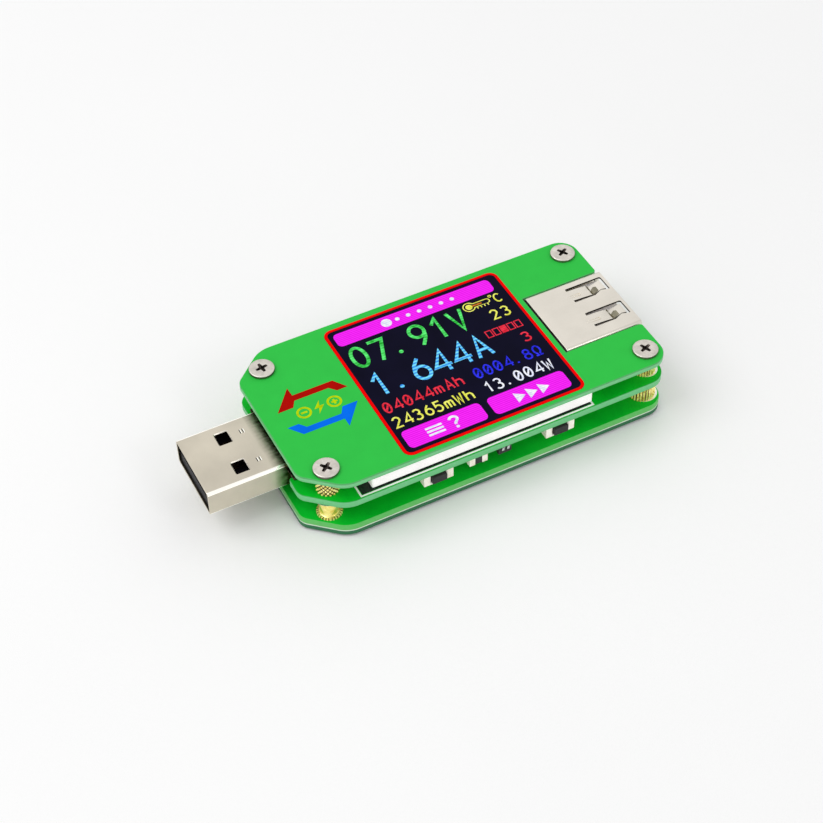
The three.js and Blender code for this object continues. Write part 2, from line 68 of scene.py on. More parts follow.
SCREWS = {corner: middle("cover_screw_" + corner) for corner in CORNERS}
COVER_Z, COVER_TOP = (p.z for p in span("front_cover"))
BOARD_Z, BOARD_TOP = (p.z for p in span("main_board"))
BACK_Z, BACK_TOP = (p.z for p in span("back_cover"))
SHEET_Z, SHEET_TOP = (p.z for p in span("back_sheet"))
(PLATE_LEFT, PLATE_NEAR, _), (PLATE_RIGHT, PLATE_FAR, _) = span("back_cover")

CHAMFER_X = 5.4
CHAMFER_Y = 4.85
CHAMFER_END_RADIUS = 2.2
CHAMFER_SIDE_RADIUS = 4.5
SOCKET_END_RADIUS = 3.0
SCREW_HOLE = 1.1

# ---- outlines


def arc(x, y, rx, ry, start, end, steps=12):
    """Points of an elliptic arc, with its angles in degrees."""
    turns = [math.radians(start + (end - start) * i / steps) for i in range(steps + 1)]
    return [(x + rx * math.cos(a), y + ry * math.sin(a)) for a in turns]


def rounded(corners, steps=7):
    """A closed outline through corners of (x, y, radius)."""
    points = []
    for i, (x, y, radius) in enumerate(corners):
        corner = Vector((x, y))
        if not radius:
            points.append((x, y))
            continue
        before = (Vector(corners[i - 1][:2]) - corner).normalized()
        after = (Vector(corners[(i + 1) % len(corners)][:2]) - corner).normalized()
        half = before.angle(after) / 2
        centre = corner + (before + after).normalized() * (radius / math.sin(half))
        setback = radius / math.tan(half)
        start = corner + before * setback - centre
        end = corner + after * setback - centre
        first = math.degrees(math.atan2(start.y, start.x))
        turn = math.degrees(math.atan2(end.y, end.x)) - first
        turn = (turn + 180) % 360 - 180
        points += arc(centre.x, centre.y, radius, radius, first, first + turn, steps)
    return points


def rectangle(x0, x1, y0, y1, radius=0.0, steps=6):
    return rounded([(x0, y0, radius), (x1, y0, radius), (x1, y1, radius), (x0, y1, radius)], steps)


def circle(x, y, radius, steps=32):
    return arc(x, y, radius, radius, 0, 360 * (1 - 1 / steps), steps - 1)


def signed_area(loop):
    return sum(a[0] * b[1] - b[0] * a[1] for a, b in zip(loop, loop[1:] + loop[:1])) / 2


def miters(points, closed):
    """The left-hand normal at each point of a path, lengthened at the bends."""
    count = len(points)
    found = []
    for i in range(count):
        here = Vector(points[i])
        before = Vector(points[i - 1]) if closed or i else None
        after = Vector(points[(i + 1) % count]) if closed or i < count - 1 else None
        ends = ((before, here), (here, after))
        runs = [b - a for a, b in ends if a and b and (b - a).length > 1e-9]
        sides = [Vector((-run.y, run.x)).normalized() for run in runs]
        total = sum(sides, Vector((0, 0))).normalized()
        found.append(total / max(total.dot(sides[0]), 0.5))
    return found


# ---- mesh building

TURNED = {
    "z": lambda u, v, w: (u, v, w),
    "x": lambda u, v, w: (w, u, v),
    "y": lambda u, v, w: (v, w, u),
}


def loft(bm, rings, closed=False, material=0, sides=None):
    """Joins rings of points into a skin, with flat ends unless it closes on itself.
    sides gives each side its own material; the faces between the rings are returned."""
    rows = [[bm.verts.new(point) for point in ring] for ring in rings]
    count = len(rows[0])
    pairs = list(zip(rows, rows[1:])) + ([(rows[-1], rows[0])] if closed else [])
    made = []
    for lower, upper in pairs:
        for i in range(count):
            j = (i + 1) % count
            face = bm.faces.new((lower[i], lower[j], upper[j], upper[i]))
            face.material_index = sides[i] if sides else material
            made.append(face)
    if not closed:
        for row in (rows[0][::-1], rows[-1]):
            bm.faces.new(row).material_index = material
    return made


def slab(bm, loops, low, high, bevel=0.0, axis="z", face=0, edge=0, steps=3):
    """A plate with rounded rims: loops[0] is its outline and the others are its holes."""
    turn = TURNED[axis]
    levels = [(bevel * (1 - math.sin(a)), low + bevel * (1 - math.cos(a)))
              for a in (math.pi / 2 * i / steps for i in range(steps + 1))] if bevel else [(0, low)]
    levels += [(inset, low + high - w) for inset, w in reversed(levels)]
    rims = ([], [])
    for number, loop in enumerate(loops):
        loop = [tuple(p) for p in loop]
        if (signed_area(loop) > 0) == (number > 0):
            loop.reverse()
        sides = miters(loop, True)
        rows = []
        for inset, w in levels:
            rows.append([bm.verts.new(turn(u + n.x * inset, v + n.y * inset, w))
                         for (u, v), n in zip(loop, sides)])
        for lower, upper in zip(rows, rows[1:]):
            for i in range(len(loop)):
                j = (i + 1) % len(loop)
                bm.faces.new((lower[i], lower[j], upper[j], upper[i])).material_index = edge
        for rim, row in zip(rims, (rows[0], rows[-1])):
            rim += [bm.edges.get((row[i - 1], row[i])) for i in range(len(row))]
    for rim, side in zip(rims, (-1, 1)):
        made = bmesh.ops.triangle_fill(bm, edges=rim, use_beauty=True, normal=turn(0, 0, side))
        for item in made["geom"]:
            if isinstance(item, bmesh.types.BMFace):
                item.material_index = face
        for line in rim:
            line.smooth = False


def block(bm, x0, x1, y0, y1, z0, z1, bevel=0.06, radius=0.1, axis="z", **materials):
    """A box with rounded edges; the two rims across its axis, Y or Z, are the bevelled ones."""
    section, run = ((x0, x1, y0, y1), (z0, z1)) if axis == "z" else ((z0, z1, x0, x1), (y0, y1))
    slab(bm, [rectangle(*section, radius, 3)], *run, bevel, axis, **materials)


def fill(bm, low, high, *rims, **materials):
    """A block between two corners."""
    block(bm, low.x, high.x, low.y, high.y, low.z, high.z, *rims, **materials)


def turned(bm, x, y, profile, steps=48, ripple=None, material=0, groove=None):
    """A round solid about an upright axis; ripple(angle, z) adds to its radius, and faces that
    it sinks below groove take the next material."""
    rings = []
    for radius, z in profile:
        ring = []
        for i in range(steps):
            angle = 2 * math.pi * i / steps
            r = radius + (ripple(angle, z) if ripple else 0)
            ring.append((x + r * math.cos(angle), y + r * math.sin(angle), z))
        rings.append(ring)
    for face in loft(bm, rings, material=material):
        if groove is not None:
            centre = face.calc_center_median()
            angle = math.atan2(centre.y - y, centre.x - x) % (2 * math.pi)
            if ripple(angle, centre.z) < groove:
                face.material_index = material + 1


def ribbon(bm, points, width, low, high, material=0):
    """A flat printed line of constant width through points in X and Y."""
    points = list(points)
    closed = (Vector(points[0]) - Vector(points[-1])).length < 1e-6
    if closed:
        points.pop()
    rings = []
    for (x, y), side in zip(points, miters(points, closed)):
        dx, dy = side * (width / 2)
        rings.append([(x - dx, y - dy, low), (x + dx, y + dy, low),
                      (x + dx, y + dy, high), (x - dx, y - dy, high)])
    loft(bm, rings, closed, material)


def strip(bm, points, thickness, sides, materials=None):
    """A bent sheet strip: points of its path in X and Z, and (near, far) in Y at each."""
    rings = []
    for (x, z), side, (near, far) in zip(points, miters(points, False), sides):
        dx, dz = side * (thickness / 2)
        rings.append([(x - dx, near, z - dz), (x - dx, far, z - dz),
                      (x + dx, far, z + dz), (x + dx, near, z + dz)])
    loft(bm, rings, sides=materials)


def placed(name, data):
    """A new object of a mesh under way, a camera or a light."""
    if isinstance(data, bmesh.types.BMesh):
        bm, data = data, bpy.data.meshes.new(name)
        bmesh.ops.recalc_face_normals(bm, faces=bm.faces)
        bm.to_mesh(data)
        bm.free()
    made = bpy.data.objects.new(name, data)
    bpy.context.scene.collection.objects.link(made)
    return made


def carve(bm, tool):
    """bm with the tool's shape cut out of it."""
    base, cutter = placed("base", bm), placed("cutter", tool)
    modifier = base.modifiers.new("cut", "BOOLEAN")
    modifier.object = cutter
    modifier.operation = "DIFFERENCE"
    modifier.solver = "EXACT"
    bpy.context.view_layer.update()
    result = base.evaluated_get(bpy.context.evaluated_depsgraph_get()).to_mesh()
    made = bmesh.new()
    made.from_mesh(result)
    for used in (base, cutter):
        bpy.data.objects.remove(used)
    return made


def softened(node, width):
    """A copy of a CAD node's shape with its sharp edges rounded."""
    bm = bmesh.new()
    bm.from_mesh(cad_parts[node].data)
    for v in bm.verts:
        v.co = v.co / MM - Vector((MIDDLE_X, 0, 0))
    bmesh.ops.remove_doubles(bm, verts=bm.verts, dist=0.002)
    bmesh.ops.dissolve_limit(bm, angle_limit=math.radians(3), verts=bm.verts, edges=bm.edges)
    sharp = [e for e in bm.edges if e.is_manifold and e.calc_face_angle() > math.radians(35)]
    bmesh.ops.bevel(bm, geom=sharp, offset=width, segments=2, profile=0.5, affect="EDGES",
                    clamp_overlap=True)
    return bm


def piece(name, bm, materials, node=None, body="meter", crease=32):
    """Finishes a mesh as a piece that rides on a CAD body."""
    for v in bm.verts:
        v.co = (v.co + Vector((MIDDLE_X, 0, 0))) * MM
    bmesh.ops.recalc_face_normals(bm, faces=bm.faces)
    limit = math.radians(crease)
    bm.normal_update()
    for f in bm.faces:
        f.smooth = max(abs(part) for part in f.normal) < 0.9999
    for e in bm.edges:
        if len(e.link_faces) == 2 and e.calc_face_angle() > limit:
            e.smooth = False
    made = placed(name, bm)
    for material in materials if isinstance(materials, list) else [materials]:
        made.data.materials.append(material)
    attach(made, body)
    if node:
        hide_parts(node)


def flat_piece(name, loops, low, high, material, slot, node=None, bevel=0.0, steps=3):
    bm = bmesh.new()
    slab(bm, loops, low, high, bevel, steps=steps)
    piece(name, bm, material, node)


def soft_piece(name, node, width, material):
    piece(name, softened(node, width), material, node)


# ---- materials


def linear(colour):
    """A display colour, 0 to 255, as the linear colour that shaders take."""
    parts = [c / 255 for c in colour]
    return (*(c / 12.92 if c <= 0.04045 else ((c + 0.055) / 1.055) ** 2.4 for c in parts), 1.0)


def shade(colour, factor):
    return tuple(min(255, c * factor) for c in colour)


def feed(tree, socket, value):
    """Gives a socket a value, or a link from another node's output."""
    if isinstance(value, bpy.types.NodeSocket):
        tree.links.new(value, socket)
    else:
        socket.default_value = value


def add(tree, kind, sockets=None, **settings):
    made = tree.nodes.new("ShaderNode" + kind)
    for key, value in settings.items():
        setattr(made, key, value)
    for key, value in (sockets or {}).items():
        feed(tree, made.inputs[key], value)
    return made


def noise(tree, place, scale, detail=3.0, stretch=(1, 1, 1)):
    """Noise whose features are 1/scale millimetres across, from 0 to 1."""
    spread = add(tree, "Mapping", {"Vector": place, "Scale": tuple(1000 * s for s in stretch)})
    made = add(tree, "TexNoise", {"Vector": spread.outputs[0], "Scale": scale, "Detail": detail})
    return made.outputs["Fac"]


def ranged(tree, value, low, high, start=0.3, end=0.7):
    """value from start..end to low..high."""
    made = add(tree, "MapRange", {"Value": value, "From Min": start, "From Max": end,
                                  "To Min": low, "To Max": high})
    return made.outputs[0]


def mixed(tree, factor, first, second):
    return add(tree, "Mix", {0: factor, 6: first, 7: second}, data_type="RGBA").outputs[2]


def math_of(tree, operation, first, second=0.0, clamp=False):
    made = add(tree, "Math", {0: first, 1: second}, operation=operation, use_clamp=clamp)
    return made.outputs[0]


def part_of(tree, place, axis):
    return add(tree, "SeparateXYZ", {"Vector": place}).outputs[axis]


def relief(tree, height, distance):
    """A normal for bumps that are distance millimetres high."""
    bump = add(tree, "Bump", {"Height": height, "Strength": 1.0, "Distance": distance * MM})
    return bump.outputs[0]


def waves(tree, place, pitch):
    """A wave along Y, from -1 to 1."""
    turns = math_of(tree, "MULTIPLY", part_of(tree, place, "Y"), 2 * math.pi / (pitch * MM))
    return math_of(tree, "SINE", turns)


def start_material(name):
    made = bpy.data.materials.new(name)
    made.use_nodes = True
    tree = made.node_tree
    place = add(tree, "TexCoord").outputs["Object"]
    return made, tree, tree.nodes["Principled BSDF"], place


def connect(tree, bsdf, values):
    for key, value in values.items():
        feed(tree, bsdf.inputs[key], value)


def surface(name, colour, rough, metal=0.0, variation=0.06, grain=6.0, bump=0.02, tint=None,
            patch=0.35, stretch=(1, 1, 1), specular=0.5, wear=0.0, painted_glow=0.0, painted_shade=None):
    """A finish with soft colour patches, fine grain in its gloss and relief, and lightened sharp
    edges, partly edge wear and partly a painted highlight; it may also glow, a painted light. The
    last
    argument is (start, end, colour): painted shade that darkens the metal unevenly between two
    places along X."""
    made, tree, bsdf, place = start_material(name)
    patches = ranged(tree, noise(tree, place, patch, 4), 0, 1)
    dark, light = linear(shade(colour, 1 - variation)), linear(tint or shade(colour, 1 + variation))
    base = mixed(tree, patches, dark, light)
    fine = noise(tree, place, grain, 2, stretch)
    # Sharp edges are lightened: partly edge wear, partly a painted highlight.
    if wear:
        edge = add(tree, "NewGeometry").outputs["Pointiness"]
        rubbed_and_lit = ranged(tree, edge, 0, wear, 0.51, 0.58)
        base = mixed(tree, rubbed_and_lit, base, linear(shade(colour, 1.25)))
    # Painted shade: the colour darkens unevenly between two places along X.
    if painted_shade:
        start, end = ((MIDDLE_X + where) * MM for where in painted_shade[:2])
        reached = ranged(tree, part_of(tree, place, "X"), 0, 1, start, end)
        ragged = ranged(tree, noise(tree, place, 1.2, 3, (0.7, 1.6, 1)), 0.7, 1.25)
        amount = math_of(tree, "MULTIPLY", reached, ragged, True)
        base = mixed(tree, amount, base, linear(painted_shade[2]))
    connect(tree, bsdf, {
        "Base Color": base, "Roughness": ranged(tree, fine, rough * 0.85, rough * 1.15),
        "Metallic": metal, "Normal": relief(tree, fine, bump), "Specular IOR Level": specular,
    })
    # Painted light: the finish glows with its own colour.
    if painted_glow:
        connect(tree, bsdf, {"Emission Color": base, "Emission Strength": painted_glow})
    return made


def laminate(name, low, high, *stops):
    """The sawn edge of a board: layers of colour between two heights, with glass-fibre grain."""
    made, tree, bsdf, place = start_material(name)
    wander = ranged(tree, noise(tree, place, 0.5, 3), -0.02, 0.02)
    level = add(tree, "MapRange", {"Value": part_of(tree, place, "Z"), "From Min": low * MM,
                                   "From Max": high * MM})
    ramp = add(tree, "ValToRGB", {"Fac": math_of(tree, "ADD", level.outputs[0], wander)})
    ramp.color_ramp.interpolation = "EASE"
    points = ramp.color_ramp.elements
    while len(points) < len(stops):
        points.new(0.5)
    for point, (where, colour) in zip(points, stops):
        point.position = where
        point.color = linear(colour)
    fibre = noise(tree, place, 5.0, 3, (0.25, 0.25, 3.0))
    base = mixed(tree, ranged(tree, fibre, 0.0, 0.3), ramp.outputs["Color"], linear((60, 140, 80)))
    connect(tree, bsdf, {"Base Color": base, "Roughness": 0.5, "Specular IOR Level": 0.25,
                         "Normal": relief(tree, fibre, 0.02)})
    return made


def display(name, dark, bright, pitch, rows, blotch=1.6):
    """Lit screen pixels: rows of lighter and darker colour, and a share of uneven blotches."""
    made, tree, bsdf, place = start_material(name)
    lines = ranged(tree, waves(tree, place, pitch), 0, rows, -1, 1)
    uneven = ranged(tree, noise(tree, place, blotch, 2), 0, 1 - rows, 0.35, 0.65)
    colour = mixed(tree, math_of(tree, "ADD", lines, uneven), linear(dark), linear(bright))
    connect(tree, bsdf, {"Base Color": (0.002, 0.002, 0.003, 1), "Roughness": 0.3,
                         "Specular IOR Level": 0.03, "Emission Color": colour,
                         "Emission Strength": 1.0})
    return made


def flex_film():
    """A film with copper tracks that run along X."""
    made, tree, bsdf, place = start_material("flex_film")
    tracks = ranged(tree, waves(tree, place, 0.6), 0, 1, -0.15, 0.15)
    base = mixed(tree, tracks, linear((110, 62, 14)), linear((176, 112, 40)))
    connect(tree, bsdf, {"Base Color": base, "Metallic": 0.2,
                         "Roughness": ranged(tree, noise(tree, place, 6, 2), 0.28, 0.42),
                         "Normal": relief(tree, tracks, 0.02)})
    return made


def ink(name, colour, variation=0.04, patch=0.35, specular=0.03):
    return surface(name, colour, 0.6, 0, variation, 9, 0.005, patch=patch, specular=specular)


# Each finish: name, display colour, roughness, metal, colour variation, grain and bump height.
FACE = surface("solder_mask_cover", (47, 191, 70), 0.5, 0, 0.012, 9, 0.003, specular=0.08)
BOARD = surface("solder_mask_board", (4, 196, 44), 0.5, 0, 0.04, 7, 0.008, specular=0.1)
BACK = surface("solder_mask_back", (6, 200, 48), 0.5, 0, 0.04, 7, 0.008, specular=0.1)
SHEET = surface("back_sheet_film", (34, 96, 62), 0.55, 0, 0.08, 5, 0.02, specular=0.3)
COVER_EDGE = laminate(
    "cover_edge", COVER_Z, COVER_TOP, (0.0, (120, 205, 140)), (0.6, (132, 214, 150)),
    (0.85, (96, 176, 112)), (1.0, (70, 190, 90)))
BOARD_EDGE = laminate(
    "board_edge", BOARD_Z, BOARD_TOP, (0.0, (60, 160, 85)), (0.12, (118, 208, 140)),
    (0.9, (124, 212, 146)), (1.0, (40, 170, 70)))
# Its pale band at the bottom is a painted highlight along the seam over the back sheet.
BACK_EDGE = laminate(
    "back_edge", BACK_Z, BACK_TOP, (0.0, (244, 252, 240)), (0.16, (240, 250, 236)),
    (0.24, (112, 204, 108)), (1.0, (104, 206, 104)))
SHEET_EDGE = laminate(
    "sheet_edge", SHEET_Z, SHEET_TOP, (0.0, (46, 108, 74)), (0.85, (46, 108, 74)),
    (1.0, (70, 130, 90)))
# The plug's steel darkens towards the plates, where it goes in under the cover: painted shade.
PLUG_STEEL = surface("plug_steel", (213, 205, 188), 0.34, 1.0, 0.05, 3.5, 0.005, patch=0.12,
                     stretch=(1, 0.15, 1), painted_shade=(PLATE_LEFT - 1.7, PLATE_LEFT + 0.5, (58, 50, 30)))
# Brighter, glowing steel for the plug's rounded edges and ridges and the springs' folds: a painted
# highlight, with the same painted shade under the cover.
LIT_EDGE_STEEL = surface("painted_highlight_edge", (250, 246, 238), 0.2, 1.0, 0.03, 5, 0.004, painted_glow=0.3,
                      painted_shade=(PLATE_LEFT - 0.7, PLATE_LEFT + 0.2, (70, 66, 40)))
STEEL = surface("plated_steel", (213, 206, 191), 0.32, 1.0, 0.05, 3.5, 0.005, patch=0.12,
                stretch=(1, 0.15, 1))
SOCKET_STEEL = surface("socket_steel", (231, 225, 214), 0.36, 1.0, 0.03, 3.0, 0.005, patch=0.15,
                       stretch=(0.2, 1, 1))
DARK_STEEL = surface("shaded_steel", (146, 141, 122), 0.45, 1.0, 0.15, 5)
# Dark steel for the walls of slots, the plug's inner walls and the springs' sides: painted shade.
SHADED_SLOT_STEEL = surface("shaded_slot_steel", (62, 58, 50), 0.5, 1.0, 0.2, 5)
SCREW = surface("nickel_screw", (218, 212, 203), 0.42, 1.0, 0.06, 9, 0.02, patch=1.2, wear=0.2)
# The screw heads' sides and recesses take darker steel: painted shade.
SCREW_SIDE_SHADE = surface("screw_side", (132, 128, 118), 0.4, 1.0, 0.2, 6, 0.02)
RECESS = surface("screw_recess", (64, 58, 54), 0.4, 1.0, 0.4, 4, 0.03)
# Brass glows and its edges are lightened: painted light, besides some edge wear.
BRASS = surface("brass", (232, 190, 56), 0.2, 0.8, 0.22, 7, 0.012, (255, 246, 176), 2.6,
                wear=0.3, painted_glow=0.36)
# Knurl grooves take dark brass: painted shade.
BRASS_GROOVE_SHADE = surface("brass_groove_shade", (60, 34, 4), 0.5, 0.6, 0.3, 7)
BRASS_POST = surface("brass_post", (228, 198, 62), 0.2, 0.75, 0.08, 4, 0.004, (255, 246, 160), 0.8,
                     painted_glow=0.2)
GOLD = surface("gold_contact", (232, 190, 92), 0.25, 1.0, 0.08, 6, 0.01, patch=0.6, wear=0.3)
# The plug's contacts are darkened to the shade inside its shell: painted shade.
SHADED_CONTACT = surface("bronze_contact", (58, 44, 26), 0.4, 1.0, 0.15, 6, 0.01, patch=0.6)
BLACK = surface("black_plastic", (14, 12, 18), 0.5, 0, 0.2, 7, 0.02, specular=0.2)
CHIP = surface("chip_epoxy", (28, 28, 30), 0.55, 0, 0.15, 12, 0.03)
WHITE = surface("white_plastic", (244, 240, 240), 0.5, 0, 0.02, 8, 0.012)
# The tray glows: partly backlight shining through it, partly painted light against the cover's
# shade.
TRAY = surface("backlight_tray", (248, 243, 244), 0.5, 0, 0.02, 8, 0.012, painted_glow=0.22)
# Cream plastic glows a little: painted light.
CREAM = surface("cream_plastic", (244, 234, 212), 0.45, 0, 0.05, 6, 0.02, (255, 252, 244), 1.5,
                painted_glow=0.12)
TAPE = surface("black_tape", (12, 12, 14), 0.8, 0, 0.25, 10, 0.05)
# White ink and tinned pads glow a little: painted light.
SILK = surface("white_ink", (252, 252, 250), 0.7, 0, 0.04, 9, 0.01, painted_glow=0.1)
PAD = surface("tinned_pad", (236, 238, 234), 0.35, 0.5, 0.06, 5, 0.02, painted_glow=0.1)
SOLDER = surface("solder", (214, 214, 216), 0.28, 0.9, 0.12, 5, 0.03, patch=1.5)
# A dark patch under the screen tray: painted shade.
TRAY_SHADE = surface("tray_shade_ink", (3, 32, 20), 0.45, 0, 0.3, 5, 0.02, patch=1.2)
FERRITE = surface("ferrite", (62, 62, 66), 0.75, 0, 0.2, 5, 0.06)
FLEX = flex_film()
PANE = surface("screen_glass", (15, 14, 34), 0.2, 0, 0.12, 12, 0.001, patch=0.2, specular=0.02)
RED_INK = ink("red_ink", (168, 6, 0))
BLUE_INK = ink("blue_ink", (0, 106, 230))
YELLOW_INK = ink("yellow_ink", (178, 208, 0), 0.08, 1.5)
BORDER_INK = ink("border_ink", (238, 0, 0), 0.03, specular=0.02)
PIXELS = {colour: display("pixels_" + colour, *settings) for colour, *settings in (
    ("magenta", (226, 4, 228), (255, 44, 255), 0.36, 0.9),
    ("white", (206, 212, 240), (255, 255, 255), 0.4, 0.4),
    ("green", (10, 158, 24), (104, 255, 132), 0.5, 0.3, 1.1),
    ("blue", (16, 122, 238), (132, 240, 255), 0.62, 0.75),
    ("yellow", (210, 210, 40), (252, 255, 128), 0.4, 0.4),
    ("red", (200, 18, 34), (250, 60, 84), 0.4, 0.4),
    ("indigo", (14, 20, 184), (54, 60, 255), 0.4, 0.4),
    ("orange", (150, 80, 10), (230, 130, 40), 0.4, 0.4),
)}

# ---- plates

PLATE_BEVEL = 0.09
NOTCH_GAP = 0.15
NOTCH_RADIUS = 0.5
PLUG_NOTCH_DEPTH = 3.4
PLUG_NOTCH_HALF = 7.1

plug_end_near = [(PLATE_LEFT, PLATE_NEAR + CHAMFER_Y, CHAMFER_END_RADIUS),
                 (PLATE_LEFT + CHAMFER_X, PLATE_NEAR, CHAMFER_SIDE_RADIUS)]
plug_end_far = [(PLATE_LEFT + CHAMFER_X, PLATE_FAR, CHAMFER_SIDE_RADIUS),
                (PLATE_LEFT, PLATE_FAR - CHAMFER_Y, CHAMFER_END_RADIUS)]
socket_end = [(PLATE_RIGHT, y, SOCKET_END_RADIUS) for y in (PLATE_NEAR, PLATE_FAR)]

socket_low, socket_high = span("socket_shell")
notch_back = socket_low.x - 2 * NOTCH_GAP
notch_near, notch_far = socket_low.y - NOTCH_GAP, socket_high.y + NOTCH_GAP
socket_notch = [(PLATE_RIGHT, notch_near, NOTCH_RADIUS), (notch_back, notch_near, 0),
                (notch_back, notch_far, 0), (PLATE_RIGHT, notch_far, NOTCH_RADIUS)]
plug_y = middle("plug_insulator").y
plug_notch = [(PLATE_LEFT + depth, plug_y + side * PLUG_NOTCH_HALF, radius)
              for depth, side, radius in ((0, 1, NOTCH_RADIUS), (PLUG_NOTCH_DEPTH, 1, 0),
                                          (PLUG_NOTCH_DEPTH, -1, 0), (0, -1, NOTCH_RADIUS))]


def screw_holes():
    return [circle(place.x, place.y, SCREW_HOLE, 24) for place in SCREWS.values()]


def make_plate(name, corners, low, high, materials, holes=()):
    bm = bmesh.new()
    slab(bm, [rounded(corners, 12), *screw_holes(), *holes], low, high, PLATE_BEVEL, edge=1)
    piece(name, bm, materials, name.replace("_plate", ""))


WINDOW_LOW, WINDOW_HIGH = span("screen_window")
WINDOW_RADIUS = 1.35


def window_outline(inset):
    return rectangle(WINDOW_LOW.x + inset, WINDOW_HIGH.x - inset, WINDOW_LOW.y + inset,
                     WINDOW_HIGH.y - inset, WINDOW_RADIUS - inset, 8)


def make_plates():
    full = plug_end_near + socket_end + plug_end_far
    notched = plug_end_near + socket_end[:1] + socket_notch + socket_end[1:] + plug_end_far
    make_plate("front_cover_plate", notched, COVER_Z, COVER_TOP, [FACE, COVER_EDGE],
               [window_outline(-0.05)])
    make_plate("main_board_plate", notched + plug_notch, BOARD_Z, BOARD_TOP,
               [BOARD, BOARD_EDGE])
    make_plate("back_cover_plate", full, BACK_Z, BACK_TOP, [BACK, BACK_EDGE])
    make_plate("back_sheet_plate", full, SHEET_Z, SHEET_TOP, [SHEET, SHEET_EDGE])


# ---- screws and standoffs

THREAD_RADIUS = 0.95
RECESS_REACH = 0.84
RECESS_ARM = 0.2
RECESS_DEPTH = 0.82  # as a share of the head's height
FOOT_FLARE = [(0.3, -0.02), (0.12, 0.05), (0.03, 0.14), (0, 0.26)]
POST_RADIUS = 1.4
CROSS_TURN = {"plug_near": 38, "plug_far": 8, "socket_near": 20, "socket_far": 30}


def cross(scale, turn):
    """The outline of a cross recess, turned by an angle in degrees."""
    reach, arm = RECESS_REACH * scale, RECESS_ARM * (0.4 + 0.6 * scale)
    quarter = [(reach, -arm), (reach * 1.05, 0), (reach, arm), (arm * 1.4, arm * 1.4)]
    points = []
    for side in range(4):
        angle = math.radians(90 * side + turn)
        points += [(x * math.cos(angle) - y * math.sin(angle),
                    x * math.sin(angle) + y * math.cos(angle)) for x, y in quarter]
    return points


def make_screw(name, cross_turn, up):
    low, high = span(name)
    x, y = middle(name).xy
    sign = 1 if up else -1
    face, seat, tip = (high.z, COVER_TOP, low.z) if up else (low.z, SHEET_Z, high.z)
    radius = (high.x - low.x) / 2
    profile = [(THREAD_RADIUS * 0.7, tip), (THREAD_RADIUS, tip + sign * 0.3),
               (THREAD_RADIUS, seat), (radius - 0.05, seat), (radius, seat + sign * 0.05)]
    for inset, drop in ((0, 0.19), (0.03, 0.12), (0.1, 0.06), (0.2, 0.035), (0.5, 0.02)):
        profile.append((radius - inset, face - sign * drop))
    bm = bmesh.new()
    turned(bm, x, y, profile + [(radius * 0.5, face), (0.02, face)], 64)
    bm.normal_update()
    for f in bm.faces:
        # Side faces take darker steel: painted shade.
        f.material_index = 2 * (abs(f.normal.z) < 0.5)
    tool = bmesh.new()
    depth = RECESS_DEPTH * abs(face - seat)
    rings = [(1.35, -0.15), (1.12, -0.01), (0.92, 0.06), (0.55, depth)]
    # The recess takes dark steel: painted shade.
    loft(tool, [[(x + u, y + v, face - sign * sunk) for u, v in cross(scale, cross_turn)]
                for scale, sunk in rings], material=1)
    piece(name.replace("_screw_", "_cross_screw_"), carve(bm, tool),
          [SCREW, RECESS, SCREW_SIDE_SHADE], name)


def zigzag(turns):
    """A triangle wave that goes from 1 to 0 and back in each turn."""
    return abs((turns % 1) * 2 - 1)


def diamonds(count, pitch, depth):
    def ripple(angle, z):
        around, along = angle * count / (2 * math.pi), z / pitch
        return depth * (min(zigzag(around + along), zigzag(around - along)) - 0.5)
    return ripple


def ribs(count, depth):
    return lambda angle, z: depth * (zigzag(angle * count / (2 * math.pi)) - 0.5)


def knurled(bm, place, radius, low, high, steps, depth, pattern, sunk):
    """A round band with chamfered rims; its grooves are the faces below a share of the depth."""
    start, end = low + 0.1, high - 0.1
    rows = [(radius - depth / 2, start + (end - start) * i / steps) for i in range(steps + 1)]
    turned(bm, place.x, place.y, [(radius - 0.3, low), *rows, (radius - 0.3, high)], 192, pattern,
           groove=-depth * sunk)


def make_upper_standoff(corner, place):
    """A knurled spacer, with diamonds at the plug end and ribs at the socket end."""
    node = "upper_standoff_" + corner
    low, high = span(node)
    radius = (high.x - low.x) / 2
    bm = bmesh.new()
    turned(bm, place.x, place.y, [(THREAD_RADIUS, low.z), (THREAD_RADIUS, BOARD_TOP - 0.01)], 32)
    depth, pattern = (0.26, diamonds(16, 0.8, 0.26)) if "plug" in corner else (0.24, ribs(26, 0.24))
    knurled(bm, place, radius, BOARD_TOP, high.z, 30, depth, pattern, 0.22)
    # Groove faces take dark brass: painted shade.
    piece("knurled_spacer_" + corner, bm, [BRASS, BRASS_GROOVE_SHADE], node, crease=60)


def make_lower_standoff(corner, place):
    """A smooth post that flares into a knurled foot at the plug end, or a ribbed collar."""
    node = "lower_standoff_" + corner
    low, high = span(node)
    rise, depth, foot = (0.45, 0.07, FOOT_FLARE) if "plug" in corner else (3.3, 0.24, [(0, -0.02)])
    rim = BACK_TOP + rise
    bm = bmesh.new()
    # Groove faces take dark brass: painted shade.
    knurled(bm, place, (high.x - low.x) / 2, low.z, rim, 6, depth, ribs(26, depth), 0.2)
    profile = [(POST_RADIUS + out, rim + up) for out, up in foot]
    profile += [(POST_RADIUS, high.z - 0.1), (POST_RADIUS - 0.1, high.z)]
    turned(bm, place.x, place.y, profile, 64, material=2)
    piece("collar_standoff_" + corner, bm, [BRASS, BRASS_GROOVE_SHADE, BRASS_POST], node,
          crease=60)


PAD_OFFSET = 0.4
PAD_HOLE = 1.2


